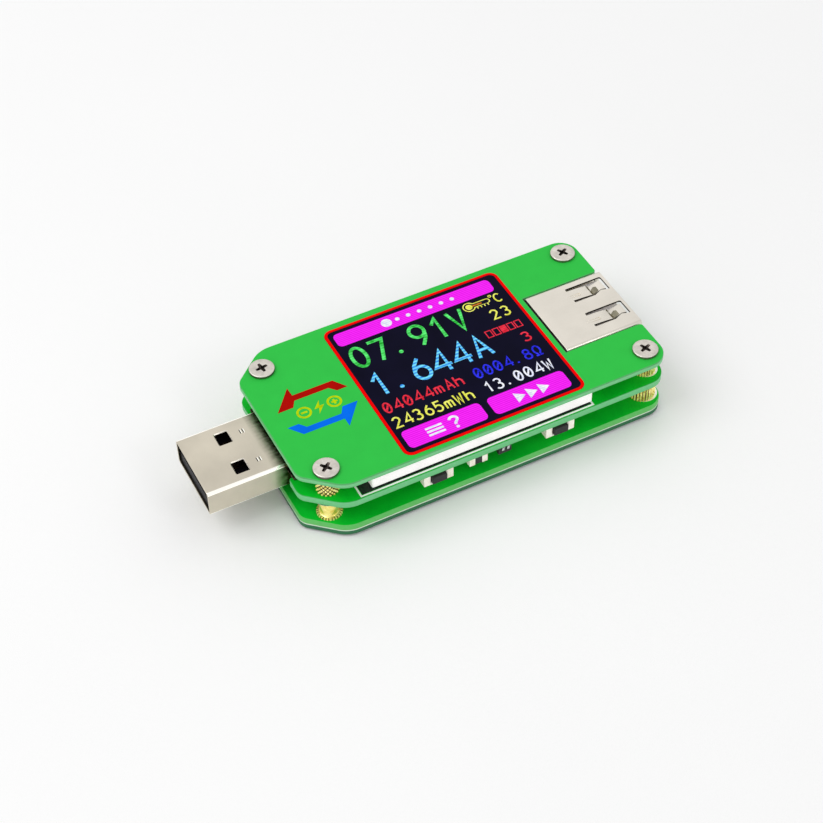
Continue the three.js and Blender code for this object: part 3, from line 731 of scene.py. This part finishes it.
def make_pads():
    """Bare solder rings at the socket end, set a little further out than the standoffs."""
    bm = bmesh.new()
    for corner in ("socket_near", "socket_far"):
        x, y = SCREWS[corner].xy
        for top, node in ((BOARD_TOP, "upper_standoff_"), (BACK_TOP, "lower_standoff_")):
            low, high = span(node + corner)
            ring = circle(x + PAD_OFFSET, y, (high.x - low.x) / 2, 40)
            slab(bm, [ring, circle(x, y, PAD_HOLE, 32)], top - 0.02, top + 0.025)
    piece("solder_rings", bm, PAD)


def make_fasteners():
    for corner, place in SCREWS.items():
        make_upper_standoff(corner, place)
        make_lower_standoff(corner, place)
        make_screw("cover_screw_" + corner, CROSS_TURN[corner], True)
        make_screw("back_screw_" + corner, CROSS_TURN[corner] + 25, False)
    make_pads()


# ---- screen

INK = 0.012
INK_LEVELS = (COVER_TOP - 0.05, COVER_TOP + INK)
GLYPHS = {
    "0": [arc(0.55, 0.5, 0.44, 0.47, 0, 360, 28)],
    "Z": [arc(0.5, 0.5, 0.46, 0.5, 0, 360, 24), [(0.2, 0.22), (0.8, 0.78)]],
    "1": [[(0.24, 0.72), (0.63, 1.0), (0.63, 0)]],
    "2": [arc(0.48, 0.72, 0.44, 0.27, 165, -30) + [(0.05, 0), (1, 0)]],
    "3": [arc(0.45, 0.75, 0.42, 0.24, 150, -90), arc(0.45, 0.26, 0.47, 0.27, 90, -150)],
    "4": [[(0.86, 0), (0.86, 1), (0.09, 0.28), (1.12, 0.28)]],
    "5": [[(0.92, 1), (0.15, 1), (0.12, 0.55)] + arc(0.45, 0.32, 0.48, 0.31, 125, -145)],
    "6": [arc(0.57, 0.32, 0.46, 0.3, 0, 360, 26), [(0.13, 0.42), (0.3, 0.7), (0.72, 1)]],
    "7": [[(0.1, 0.97), (1.03, 0.97), (0.42, 0)]],
    "8": [arc(0.5, 0.76, 0.38, 0.23, 0, 360, 22), arc(0.5, 0.27, 0.46, 0.27, 0, 360, 22)],
    "9": [arc(0.53, 0.69, 0.46, 0.29, 0, 360, 26), [(0.98, 0.63), (0.84, 0.33), (0.44, 0)]],
    "V": [[(0.1, 1), (0.58, 0.02), (1.04, 1)]],
    "A": [[(0.15, 0), (0.6, 1), (1.05, 0)], [(0.32, 0.34), (0.9, 0.34)]],
    "m": [[(0, 0), (0, 0.66)], [(0, 0.5), (0.14, 0.64), (0.4, 0.64), (0.5, 0.5), (0.5, 0)],
          [(0.5, 0.5), (0.64, 0.64), (0.9, 0.64), (1, 0.5), (1, 0)]],
    "h": [[(0.05, 0), (0.05, 1)],
          [(0.05, 0.46), (0.3, 0.64), (0.75, 0.64), (0.95, 0.46), (0.95, 0)]],
    "W": [[(0, 1), (0.22, 0), (0.5, 0.7), (0.78, 0), (1, 1)]],
    "O": [[(0, 0.02), (0.32, 0.02), (0.28, 0.22)] + arc(0.5, 0.6, 0.46, 0.4, 235, -55, 18)
          + [(0.72, 0.22), (0.68, 0.02), (1, 0.02)]],
    "C": [arc(0.55, 0.5, 0.5, 0.5, 45, 315, 14)],
    "?": [arc(0.5, 0.74, 0.36, 0.25, 170, -50) + [(0.5, 0.36), (0.5, 0.24)]],
}


def write(bm, text, x, y, width, height, pitch, stroke):
    """Draws strokes for each sign of text on the screen's face, from its lower left corner."""
    for i, sign in enumerate(text):
        left = x + i * pitch
        if sign == ".":
            spot(bm, left + 0.3 * width, y + 0.08 * height, stroke * 0.62)
            continue
        for line in GLYPHS[sign]:
            draw(bm, [(left + u * width, y + v * height) for u, v in line], stroke)


def draw(bm, points, width):
    ribbon(bm, points, width, *INK_LEVELS)


def spot(bm, x, y, radius, steps=16):
    slab(bm, [circle(x, y, radius, steps)], *INK_LEVELS)


def panel(bm, x0, x1, y0, y1, radius, lift=0.0):
    slab(bm, [rectangle(x0, x1, y0, y1, radius, 5)], COVER_TOP - 0.05, COVER_TOP + INK / 2 + lift)


def page_bar(bm):
    panel(bm, -13.83, 12.88, 10.0, 12.88, 0.8)


def soft_keys(bm):
    panel(bm, -13.77, -0.96, -13.39, -9.74, 0.8)
    panel(bm, 0.23, 13.0, -13.39, -9.74, 0.8)


def page_dots(bm):
    spot(bm, -5.27, 11.47, 0.85, 24)
    for i in range(6):
        spot(bm, -3.42 + 1.88 * i, 11.47, 0.36)


def key_signs(bm):
    """A menu sign and a question mark on one key, and three forward arrows on the other."""
    for y in (-12.35, -11.67, -10.99):
        panel(bm, -10.3, -7.6, y - 0.19, y + 0.19, 0.1, INK / 2)
    write(bm, "?", -6.6, -12.6, 1.7, 2.1, 0, 0.42)
    spot(bm, -5.75, -12.62, 0.26)
    for x in (4.3, 6.3, 8.3):
        slab(bm, [[(x, -12.7), (x + 1.6, -11.67), (x, -10.64)]], *INK_LEVELS)


def thermometer(bm):
    x, y, stroke = 7.42, 8.55, 0.17
    spot(bm, x, y, 0.56, 20)
    draw(bm, arc(x, y, 0.92, 0.92, 28, 332, 24) + [(10.6, 8.1)]
         + arc(10.5, y, 0.45, 0.45, -90, 90, 8) + [(8.3, 9.0)], stroke)
    for mark in (8.6, 9.2, 9.8, 10.4):
        draw(bm, [(mark, 8.1), (mark, 7.65)], stroke)
    draw(bm, arc(11.35, 9.25, 0.22, 0.22, 0, 360, 12), 0.16)
    write(bm, "C", 11.75, 7.55, 1.1, 1.75, 0, 0.24)


def mercury(bm):
    ribbon(bm, [(7.42, 8.55), (9.6, 8.55)], 0.3, COVER_TOP - 0.05, COVER_TOP + INK * 0.8)


def memory_slots(bm):
    """Five memory cells, of which the third is in use."""
    for i in range(5):
        x = 6.9 + 1.24 * i
        if i == 2:
            panel(bm, x, x + 0.9, 1.2, 2.5, 0.1, INK / 2)
        draw(bm, rectangle(x, x + 0.9, 1.2, 2.6) + [(x, 1.2)], 0.17)


# Sizes of the writing: width, height, pitch and stroke.
BIG = (2.52, 4.46, 3.34, 0.56)
SMALL = (1.14, 2.02, 1.67, 0.29)
WARM = (1.15, 1.97, 1.85, 0.28)
SINGLE = (1.24, 1.85, 0, 0.28)

# Each part of the picture: name, colour, and a function or a text with its place and size.
PICTURE = (
    ("page_bar", "magenta", page_bar),
    ("soft_keys", "magenta", soft_keys),
    ("page_dots", "white", page_dots),
    ("key_signs", "white", key_signs),
    ("thermometer", "yellow", thermometer),
    ("memory_slots", "red", memory_slots),
    ("volts", "green", "07.91V", -13.49, 4.54, BIG),
    ("amps", "blue", "1.644A", -13.29, -1.98, BIG),
    ("temperature", "yellow", "23", 9.6, 4.35, WARM),
    ("slot_number", "red", "3", 11.38, -2.03, SINGLE),
    ("mercury", "orange", mercury),
    ("charge", "red", "Z4Z44mAh", -13.69, -5.56, SMALL),
    ("load", "indigo", "ZZZ4.8O", 1.31, -5.56, SMALL),
    ("energy", "yellow", "24365mWh", -13.69, -8.81, SMALL),
    ("power", "white", "13.ZZ4W", 1.31, -8.81, SMALL),
)


def make_screen():
    flat_piece("screen_pane", [window_outline(0)], WINDOW_LOW.z, COVER_TOP, PANE,
               "window_glass", "screen_window", 0.03, 2)
    flat_piece("screen_border", [window_outline(-0.03), window_outline(0.43)], *INK_LEVELS,
               BORDER_INK, "window_glass")
    for name, colour, what, *where in PICTURE:
        bm = bmesh.new()
        if where:
            x, y, size = where
            write(bm, what, x, y, *size)
        else:
            what(bm)
        piece("screen_" + name, bm, PIXELS[colour])


TRAY_WALL = 1.1
TRAY_DEPTH = 1.1


def make_backlight():
    low, high = span("screen_frame")
    bm = bmesh.new()
    outer = rectangle(low.x, high.x, low.y, high.y, 0.25, 4)
    slab(bm, [outer], low.z, high.z - TRAY_DEPTH, 0.06)
    inner = rectangle(low.x + TRAY_WALL, high.x - TRAY_WALL, low.y + TRAY_WALL,
                      high.y - TRAY_WALL, 0.2, 3)
    slab(bm, [outer, inner], high.z - TRAY_DEPTH - 0.02, high.z, 0.05)
    piece("screen_tray", bm, TRAY, "screen_frame")
    for node, material in (("screen_panel", PANE), ("screen_tape", TAPE), ("screen_flex", FLEX)):
        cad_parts[node].data.materials.clear()
        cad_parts[node].data.materials.append(material)


# ---- printed marks, and painted shade in the socket's gap and under the screen tray

RED_ARROW = [(-27.67, 1.95), (-24.37, 5.97), (-24.3, 4.3), (-17.83, 4.3), (-16.33, 2.17),
             (-18.03, 2.13), (-18.97, 3.17), (-24.47, 3.17), (-25.17, 1.97)]
BLUE_ARROW = [(-27.62, -1.37), (-25.87, -1.37), (-25.03, -2.43), (-19.5, -2.43), (-18.75, -1.17),
              (-16.3, -1.17), (-19.47, -5.13), (-19.5, -3.53), (-26.0, -3.53)]
BOLT = [(-21.3, 1.6), (-22.6, 0.2), (-21.85, 0.2), (-22.3, -0.95), (-20.9, 0.55), (-21.65, 0.55)]
MINUS_X = -24.2
PLUS_X = -19.35


def make_gap_shade():
    """Black sheets in the gap between the front cover and the socket: painted shade in that gap."""
    outer = rectangle(notch_back - 0.3, PLATE_RIGHT - 0.6, notch_near - 0.3, notch_far + 0.3)
    inner = rectangle(socket_low.x - 0.02, PLATE_RIGHT - 0.7, socket_low.y + 0.02,
                      socket_high.y - 0.02)
    flat_piece("socket_gap_shade_film", [outer, inner], COVER_Z - 0.12, COVER_Z - 0.02, TAPE,
               "black_tape")
    bm = bmesh.new()
    x = notch_back + 0.05
    ribbon(bm, [(x, notch_near + 0.1), (x, notch_far - 0.1)], 0.12, COVER_Z, COVER_TOP - 0.04)
    piece("socket_gap_shade_lip", bm, TAPE)


def make_marks():
    low, high = COVER_TOP - 0.02, COVER_TOP + INK
    flat_piece("mark_arrow_out", [RED_ARROW], low, high, RED_INK, "cover_green")
    flat_piece("mark_arrow_in", [BLUE_ARROW], low, high, BLUE_INK, "cover_green")
    bm = bmesh.new()
    y, half = 0.32, 0.5
    for x in (MINUS_X, PLUS_X):
        ribbon(bm, arc(x, y, 0.98, 0.98, 0, 360, 28), 0.36, low, high)
        ribbon(bm, [(x - half, y), (x + half, y)], 0.34, low, high)
    ribbon(bm, [(PLUS_X, y - half), (PLUS_X, y + half)], 0.34, low, high + 0.004)
    slab(bm, [BOLT], low, high)
    piece("mark_polarity", bm, YELLOW_INK)

    outer = rectangle(-22.68, 15.83, -15.03, 14.85)
    inner = rectangle(-22.4, 15.55, -14.75, 14.6)
    flat_piece("board_screen_outline", [outer, inner], BOARD_TOP - 0.02, BOARD_TOP + 0.02,
               SILK, "board_green")
    # A dark patch under the screen tray: painted shade below the tray's edge.
    flat_piece("board_tray_shade", [rectangle(-22.3, 15.5, -14.65, 14.5)], BOARD_TOP - 0.02,
               BOARD_TOP + 0.01, TRAY_SHADE, "board_green")


# ---- plug

WALL = 0.3
PLUG_HALF = 6.0
PLUG_WINDOW_Y = 3.1
PLUG_WINDOW_HALF = (1.0, 1.17)
EAR_REACH = 1.9

# Places along the plug, from its front edge.
PLUG_WINDOW_X = 6.3
BRIDGE_SLOTS = (8.88, 9.32)
BRIDGE_RIDGES = (9.02, 9.46)
EAR = (12.45, 14.25)


def window_cutter(tool, x, y, face, side):
    """A cutter for a window with a chamfered rim; side is 1 for an upper wall."""
    rings = []
    for grow, z in ((0, -0.6), (0, -0.14), (0.13, 0.01), (0.195, 0.3)):
        u, v = (half + grow for half in PLUG_WINDOW_HALF)
        loop = rectangle(x - u, x + u, y - v, y + v, 0.12 + grow, 3)
        rings.append([(*point, face + side * z) for point in loop])
    loft(tool, rings, material=1)


def make_plug():
    low, high = span("plug_shell")
    near, far = plug_y - PLUG_HALF, plug_y + PLUG_HALF
    bm = bmesh.new()
    outer = rectangle(near, far, low.z, high.z, 0.5, 8)
    inner = rectangle(near + WALL, far - WALL, low.z + WALL, high.z - WALL, 0.34, 8)
    slab(bm, [outer, inner], low.x, high.x, 0.11, "x")
    bm.normal_update()
    skin = WALL / 2
    for f in bm.faces:
        centre = f.calc_center_median()
        if abs(f.normal.x) > 0.4:
            continue
        if near + skin < centre.y < far - skin and low.z + skin < centre.z < high.z - skin:
            # Inner walls: painted shade inside the shell's mouth.
            f.material_index = 2
        elif min(abs(f.normal.y), abs(f.normal.z)) > 0.25:
            # Rounded edges: painted highlight.
            f.material_index = 3
    walls = [(plug_y + PLUG_WINDOW_Y * way, z, side)
             for side, z in ((1, high.z), (-1, low.z)) for way in (-1, 1)]
    tool = bmesh.new()
    # Window rims take the lighter socket steel, a painted highlight; bridge slot walls take painted
    # shade.
    for y, z, side in walls:
        window_cutter(tool, low.x + PLUG_WINDOW_X, y, z, side)
        for x in BRIDGE_SLOTS:
            block(tool, low.x + x, low.x + x + 0.14, y - 0.42, y + 0.42, z - 0.2, z + 0.2,
                  0, 0.06, face=2, edge=2)
    bm = carve(bm, tool)
    # Bridge ridges take the painted highlight.
    for y, z, side in walls:
        for x in BRIDGE_RIDGES:
            block(bm, low.x + x, low.x + x + 0.15, y - 0.4, y + 0.4,
                  *sorted((z - side * 0.1, z + side * 0.035)), 0.03, 0.06, face=3, edge=3)
    ear_x = [low.x + x for x in EAR]
    ear_z = (BOARD_TOP + 0.03, BOARD_TOP + 0.03 + WALL)
    for side in (-1, 1):
        ear_y = sorted(plug_y + side * (PLUG_HALF + reach) for reach in (-0.2, EAR_REACH))
        block(bm, *ear_x, *ear_y, *ear_z, 0.05, 0.2)
    piece("plug_shell_sheet", bm, [PLUG_STEEL, SOCKET_STEEL, SHADED_SLOT_STEEL, LIT_EDGE_STEEL],
          "plug_shell")
    soft_piece("plug_tongue", "plug_insulator", 0.08, BLACK)
    for i in range(1, 5):
        soft_piece(f"plug_spring_contact_{i}", f"plug_contact_{i}", 0.04, SHADED_CONTACT)


# ---- socket

SPRING_MIDDLE = 0.5
SPRING_PITCH = 6.03
SLOT_OUTLINE = [(22.2, -1.62, 0.17), (25.8, -1.62, 0.4), (27.15, -1.0, 0.2), (28.1, -1.35, 0.1),
                (28.5, -1.35, 0), (28.5, 1.64, 0.35), (22.2, 1.64, 0.2)]
# Each point of a spring: X, height over the wall's outer face, and its two edges in Y.
SPRING_PATH = [(21.95, -0.15, -1.12, 1.12), (22.5, -0.16, -1.12, 1.12), (24.2, -0.24, -1.12, 1.12),
               (25.5, -0.38, -1.12, 1.12), (25.66, -0.44, -1.08, 1.12), (25.86, -0.66, -1.0, 1.1),
               (26.05, -0.7, -0.95, 1.1), (27.2, -0.5, -0.66, 1.1), (27.4, -0.36, -0.68, 1.1),
               (28.08, -0.26, -0.95, 1.1)]
SCOOP = [(25.95, -0.95, 0.1), (27.1, -0.62, 0.3), (27.3, 0.35, 0.35), (26.6, 0.5, 0.3),
         (26.0, 0.1, 0.1)]


def add_spring(bm, centre, z, side):
    """A contact spring bent from the wall: it dips to a fold, and rises again at its tip."""
    # The spring's sides take painted shade.
    strip(bm, [(x, z + side * w) for x, w, _, _ in SPRING_PATH], 0.26,
          [(centre + a, centre + b) for _, _, a, b in SPRING_PATH], [0, 1, 0, 1])
    fold = sorted((z - side * 0.45, z - side * 0.22))
    # A block along the fold takes the painted highlight.
    block(bm, 25.55, 25.74, centre - 1.02, centre + 1.06, *fold, 0.04, 0.05, face=3, edge=3)
    # The scoop under the fold takes painted shade.
    scoop = [(x, centre + v) for x, v in rounded(SCOOP, 4)]
    slab(bm, [scoop], *sorted((z - side * 0.62, z - side * 0.4)), 0.06, face=2, edge=2)
    rib = [(x, centre - 0.2 + v) for x, v in rectangle(21.5, 23.9, -0.22, 0.22, 0.2, 4)]
    ribbon(bm, rib + rib[:1], 0.1, *sorted((z - side * 0.2, z + side * 0.012)))


def make_socket():
    low, high = socket_low, socket_high
    bm = bmesh.new()
    slab(bm, [rectangle(low.y, high.y, low.z, high.z, 0.55, 8)], low.x, high.x, 0.1, "x")
    cavity = bmesh.new()
    slab(cavity, [rectangle(low.y + WALL, high.y - WALL, low.z + WALL, high.z - WALL, 0.3, 8)],
         low.x + WALL, high.x + 2, 0.0, "x")
    bm = carve(bm, cavity)
    between = (low.y + high.y) / 2 + SPRING_MIDDLE
    springs = [(between + way * SPRING_PITCH / 2, z, side)
               for way in (-1, 1) for side, z in ((1, high.z), (-1, low.z))]
    tool = bmesh.new()
    for centre, z, side in springs:
        outline = [(x, centre + v) for x, v in rounded(SLOT_OUTLINE, 5)]
        # Slot walls take painted shade.
        slab(tool, [outline], z - 0.8, z + 0.8, edge=1)
    bm = carve(bm, tool)
    for spring in springs:
        add_spring(bm, *spring)
    piece("socket_shell_sheet", bm, [SOCKET_STEEL, SHADED_SLOT_STEEL, DARK_STEEL, LIT_EDGE_STEEL],
          "socket_shell")
    soft_piece("socket_tongue", "socket_insulator", 0.08, WHITE)
    for i in range(1, 5):
        soft_piece(f"socket_leaf_contact_{i}", f"socket_contact_{i}", 0.04, GOLD)


# ---- side-push switches


def make_switch(where):
    housing, plunger = "switch_housing_" + where, "switch_plunger_" + where
    low, high = span(housing)
    side = -1 if "near" in where else 1
    face, rear = (low.y, high.y) if side < 0 else (high.y, low.y)
    bm = softened(housing, 0.12)
    y0, y1 = sorted((face, rear - side * 0.9))
    for way, end in ((-1, low.x), (1, high.x)):
        block(bm, *sorted((end, end + way * 0.85)), y0 + 0.4, y1 - 0.3, BOARD_Z - 0.32,
              BOARD_Z - 0.02, 0.04, 0.1, face=1, edge=1)
        block(bm, *sorted((end - way * 0.95, end + way * 0.06)),
              *sorted((face + side * 0.06, face - side * 1.3)), low.z + 0.12, high.z - 0.12,
              0.05, 0.08)
    piece("switch_case_" + where, bm, [CREAM, SOCKET_STEEL], housing)
    bm = bmesh.new()
    fill(bm, *span(plunger), 0.12, 0.22, "y")
    piece("switch_button_" + where, bm, CHIP, plunger, "plunger_" + where)


# ---- input socket and board parts

LEG_THICKNESS = 0.12


def leg(bm, x, y, way_x, way_y, width, drop, reach):
    """A gull-wing leg that leaves a chip's side and turns up to the board above it."""
    path = [(0, 0), (reach * 0.4, 0), (reach * 0.62, drop * 0.9), (reach, drop)]
    rings = []
    px, py = (0, width / 2) if way_x else (width / 2, 0)
    for u, w in path:
        cx, cy = x + way_x * u, y + way_y * u
        z = BOARD_Z - drop - LEG_THICKNESS + w
        top = z + LEG_THICKNESS
        rings.append([(cx - px, cy - py, z), (cx + px, cy + py, z), (cx + px, cy + py, top),
                      (cx - px, cy - py, top)])
    loft(bm, rings, material=1)


def make_chip(node, per_side, sides, reach=0.75):
    """A moulded chip under the board, with legs along the sides that are named."""
    low, high = span(node)
    size = high - low
    bm = bmesh.new()
    fill(bm, low, high - Vector((0, 0, 0.08)), 0.14, 0.12)
    for way_x, way_y in sides:
        step = (size.y if way_x else size.x) / (per_side + 0.6)
        for i in range(per_side):
            offset = (i - (per_side - 1) / 2) * step
            x = middle(node).x + (way_x * size.x / 2 if way_x else offset)
            y = middle(node).y + (way_y * size.y / 2 if way_y else offset)
            leg(bm, x, y, way_x, way_y, step * 0.45, size.z * 0.45, reach)
    turned(bm, low.x + 0.9, low.y + 0.9, [(0.28, low.z - 0.005), (0.28, low.z + 0.05)], 20)
    piece(node + "_package", bm, [CHIP, SOLDER], node)


def make_two_ended(node, body, axis=0, share=0.22, ends=SOLDER):
    """A ceramic part with a metal cap at each end of an axis."""
    low, high = span(node)
    cap = (high[axis] - low[axis]) * share
    inset = Vector((0.03, 0.03, 0.03))
    inset[axis] = cap * 0.8
    bm = bmesh.new()
    fill(bm, low + inset, high - inset, 0.05, 0.05)
    first_end, last_start = high.copy(), low.copy()
    first_end[axis] = low[axis] + cap
    last_start[axis] = high[axis] - cap
    for corners in ((low, first_end), (last_start, high)):
        fill(bm, *corners, 0.08, 0.1, face=1, edge=1)
    piece(node + "_part", bm, [body, ends], node)


def make_board_parts():
    soft_piece("input_socket_case", "input_socket_shell", 0.06, STEEL)
    soft_piece("input_socket_tongue", "input_socket_insulator", 0.06, BLACK)
    around = ((1, 0), (-1, 0), (0, 1), (0, -1))
    make_chip("microcontroller", 8, around)
    make_chip("memory_chip", 4, ((0, 1), (0, -1)))
    make_chip("voltage_regulator", 3, ((0, 1),))
    make_chip("transistor", 2, ((0, -1),), 0.35)
    make_two_ended("shunt_resistor", CHIP, 1)
    make_two_ended("capacitor", CHIP, 0, 0.32, CREAM)
    make_two_ended("inductor", FERRITE, 0, 0.18)
    low, high = span("crystal")
    rim = Vector((0.25, 0.25, 0))
    bm = bmesh.new()
    fill(bm, low + Vector((0, 0, 0.3)), high, 0.05, 0.5)
    fill(bm, low + rim, Vector((*high.xy, low.z + 0.35)) - rim, 0.14, 0.6)
    piece("crystal_can", bm, STEEL, "crystal")
    make_solder()


def blob(bm, x, y, radius, height):
    """A smooth solder cone under the board."""
    steps = ((1, 0), (0.8, 0.3), (0.5, 0.75), (0.2, 1))
    turned(bm, x, y, [(radius * wide, BOARD_Z - height * down) for wide, down in steps], 20)


def make_solder():
    random.seed(11)
    bm = bmesh.new()
    for i in range(1, 5):
        node = f"socket_contact_{i}"
        blob(bm, span(node)[0].x + 0.5, middle(node).y, 0.6, 0.5)
    for x in (socket_low.x + 3.5, socket_low.x + 9.0):
        for y in (socket_low.y - 0.8, socket_high.y + 0.8):
            blob(bm, x, y, 0.75, 0.45)
    piece("board_solder", bm, SOLDER)
    bm = bmesh.new()
    for _ in range(70):
        x, y = random.uniform(-24, 14), random.uniform(-10.5, 10.5)
        slab(bm, [circle(x, y, 0.3, 14), circle(x, y, 0.13, 14)], BOARD_Z - 0.015, BOARD_Z + 0.01)
    piece("board_vias", bm, SOLDER)
    bm = bmesh.new()
    for place in SCREWS.values():
        slab(bm, [circle(place.x, place.y, 2.35, 40), circle(place.x, place.y, PAD_HOLE, 32)],
             BOARD_Z - 0.012, BOARD_Z + 0.01)
    piece("board_screw_pads", bm, SOLDER)


# ---- camera, floor and light

CAMERA_AIM = Vector((-1.5, -2.2, 6.0)) * MM
CAMERA_DISTANCE = 274.4 * MM
CAMERA_LENS = 80.46
AZIMUTH, ELEVATION, ROLL = (math.radians(a) for a in (-25.87, 46.50, -1.72))


def make_camera():
    back = Vector((math.sin(AZIMUTH) * math.cos(ELEVATION),
                   -math.cos(AZIMUTH) * math.cos(ELEVATION), math.sin(ELEVATION)))
    level = (-back).cross(Vector((0, 0, 1))).normalized()
    upright = back.cross(level)
    right = level * math.cos(ROLL) + upright * math.sin(ROLL)
    up = upright * math.cos(ROLL) - level * math.sin(ROLL)
    data = bpy.data.cameras.new("camera")
    data.lens = CAMERA_LENS
    data.sensor_width = 36
    data.clip_start = 0.01
    camera = placed("camera", data)
    camera.matrix_world = (Matrix.Translation(CAMERA_AIM + back * CAMERA_DISTANCE)
                           @ Matrix((right, up, back)).transposed().to_4x4())
    bpy.context.scene.camera = camera


def make_floor():
    bm = bmesh.new()
    bmesh.ops.create_grid(bm, x_segments=8, y_segments=8, size=1.5)
    floor = placed("floor", bm)
    floor.data.materials.append(surface("pale_floor", (246, 246, 246), 0.9, 0, 0.004,
                                        patch=0.01, specular=0.1))


def softbox(name, place, size, power):
    data = bpy.data.lights.new(name, "AREA")
    data.shape = "SQUARE"
    data.size = size
    data.energy = power
    lamp = placed(name, data)
    lamp.location = place
    lamp.rotation_euler = Vector(place).to_track_quat("Z", "Y").to_euler()


def make_light():
    world = bpy.data.worlds.new("studio")
    bpy.context.scene.world = world
    world.use_nodes = True
    background = world.node_tree.nodes["Background"]
    background.inputs["Color"].default_value = (1, 1, 1, 1)
    background.inputs["Strength"].default_value = 0.76
    softbox("overhead", (-0.36, 0.1, 0.5), 0.4, 1.15)
    softbox("behind", (0.2, 0.41, 0.48), 0.6, 0.2)
    softbox("edge_light", (0.2, -0.47, 0.4), 0.16, 0.3)
    bpy.context.scene.view_settings.view_transform = "Standard"


make_camera()
make_floor()
make_light()
make_plates()
make_fasteners()
make_screen()
make_backlight()
make_gap_shade()
make_marks()
make_plug()
make_socket()
for end in ("near_plug", "near_socket", "far_plug", "far_socket"):
    make_switch(end)
make_board_parts()
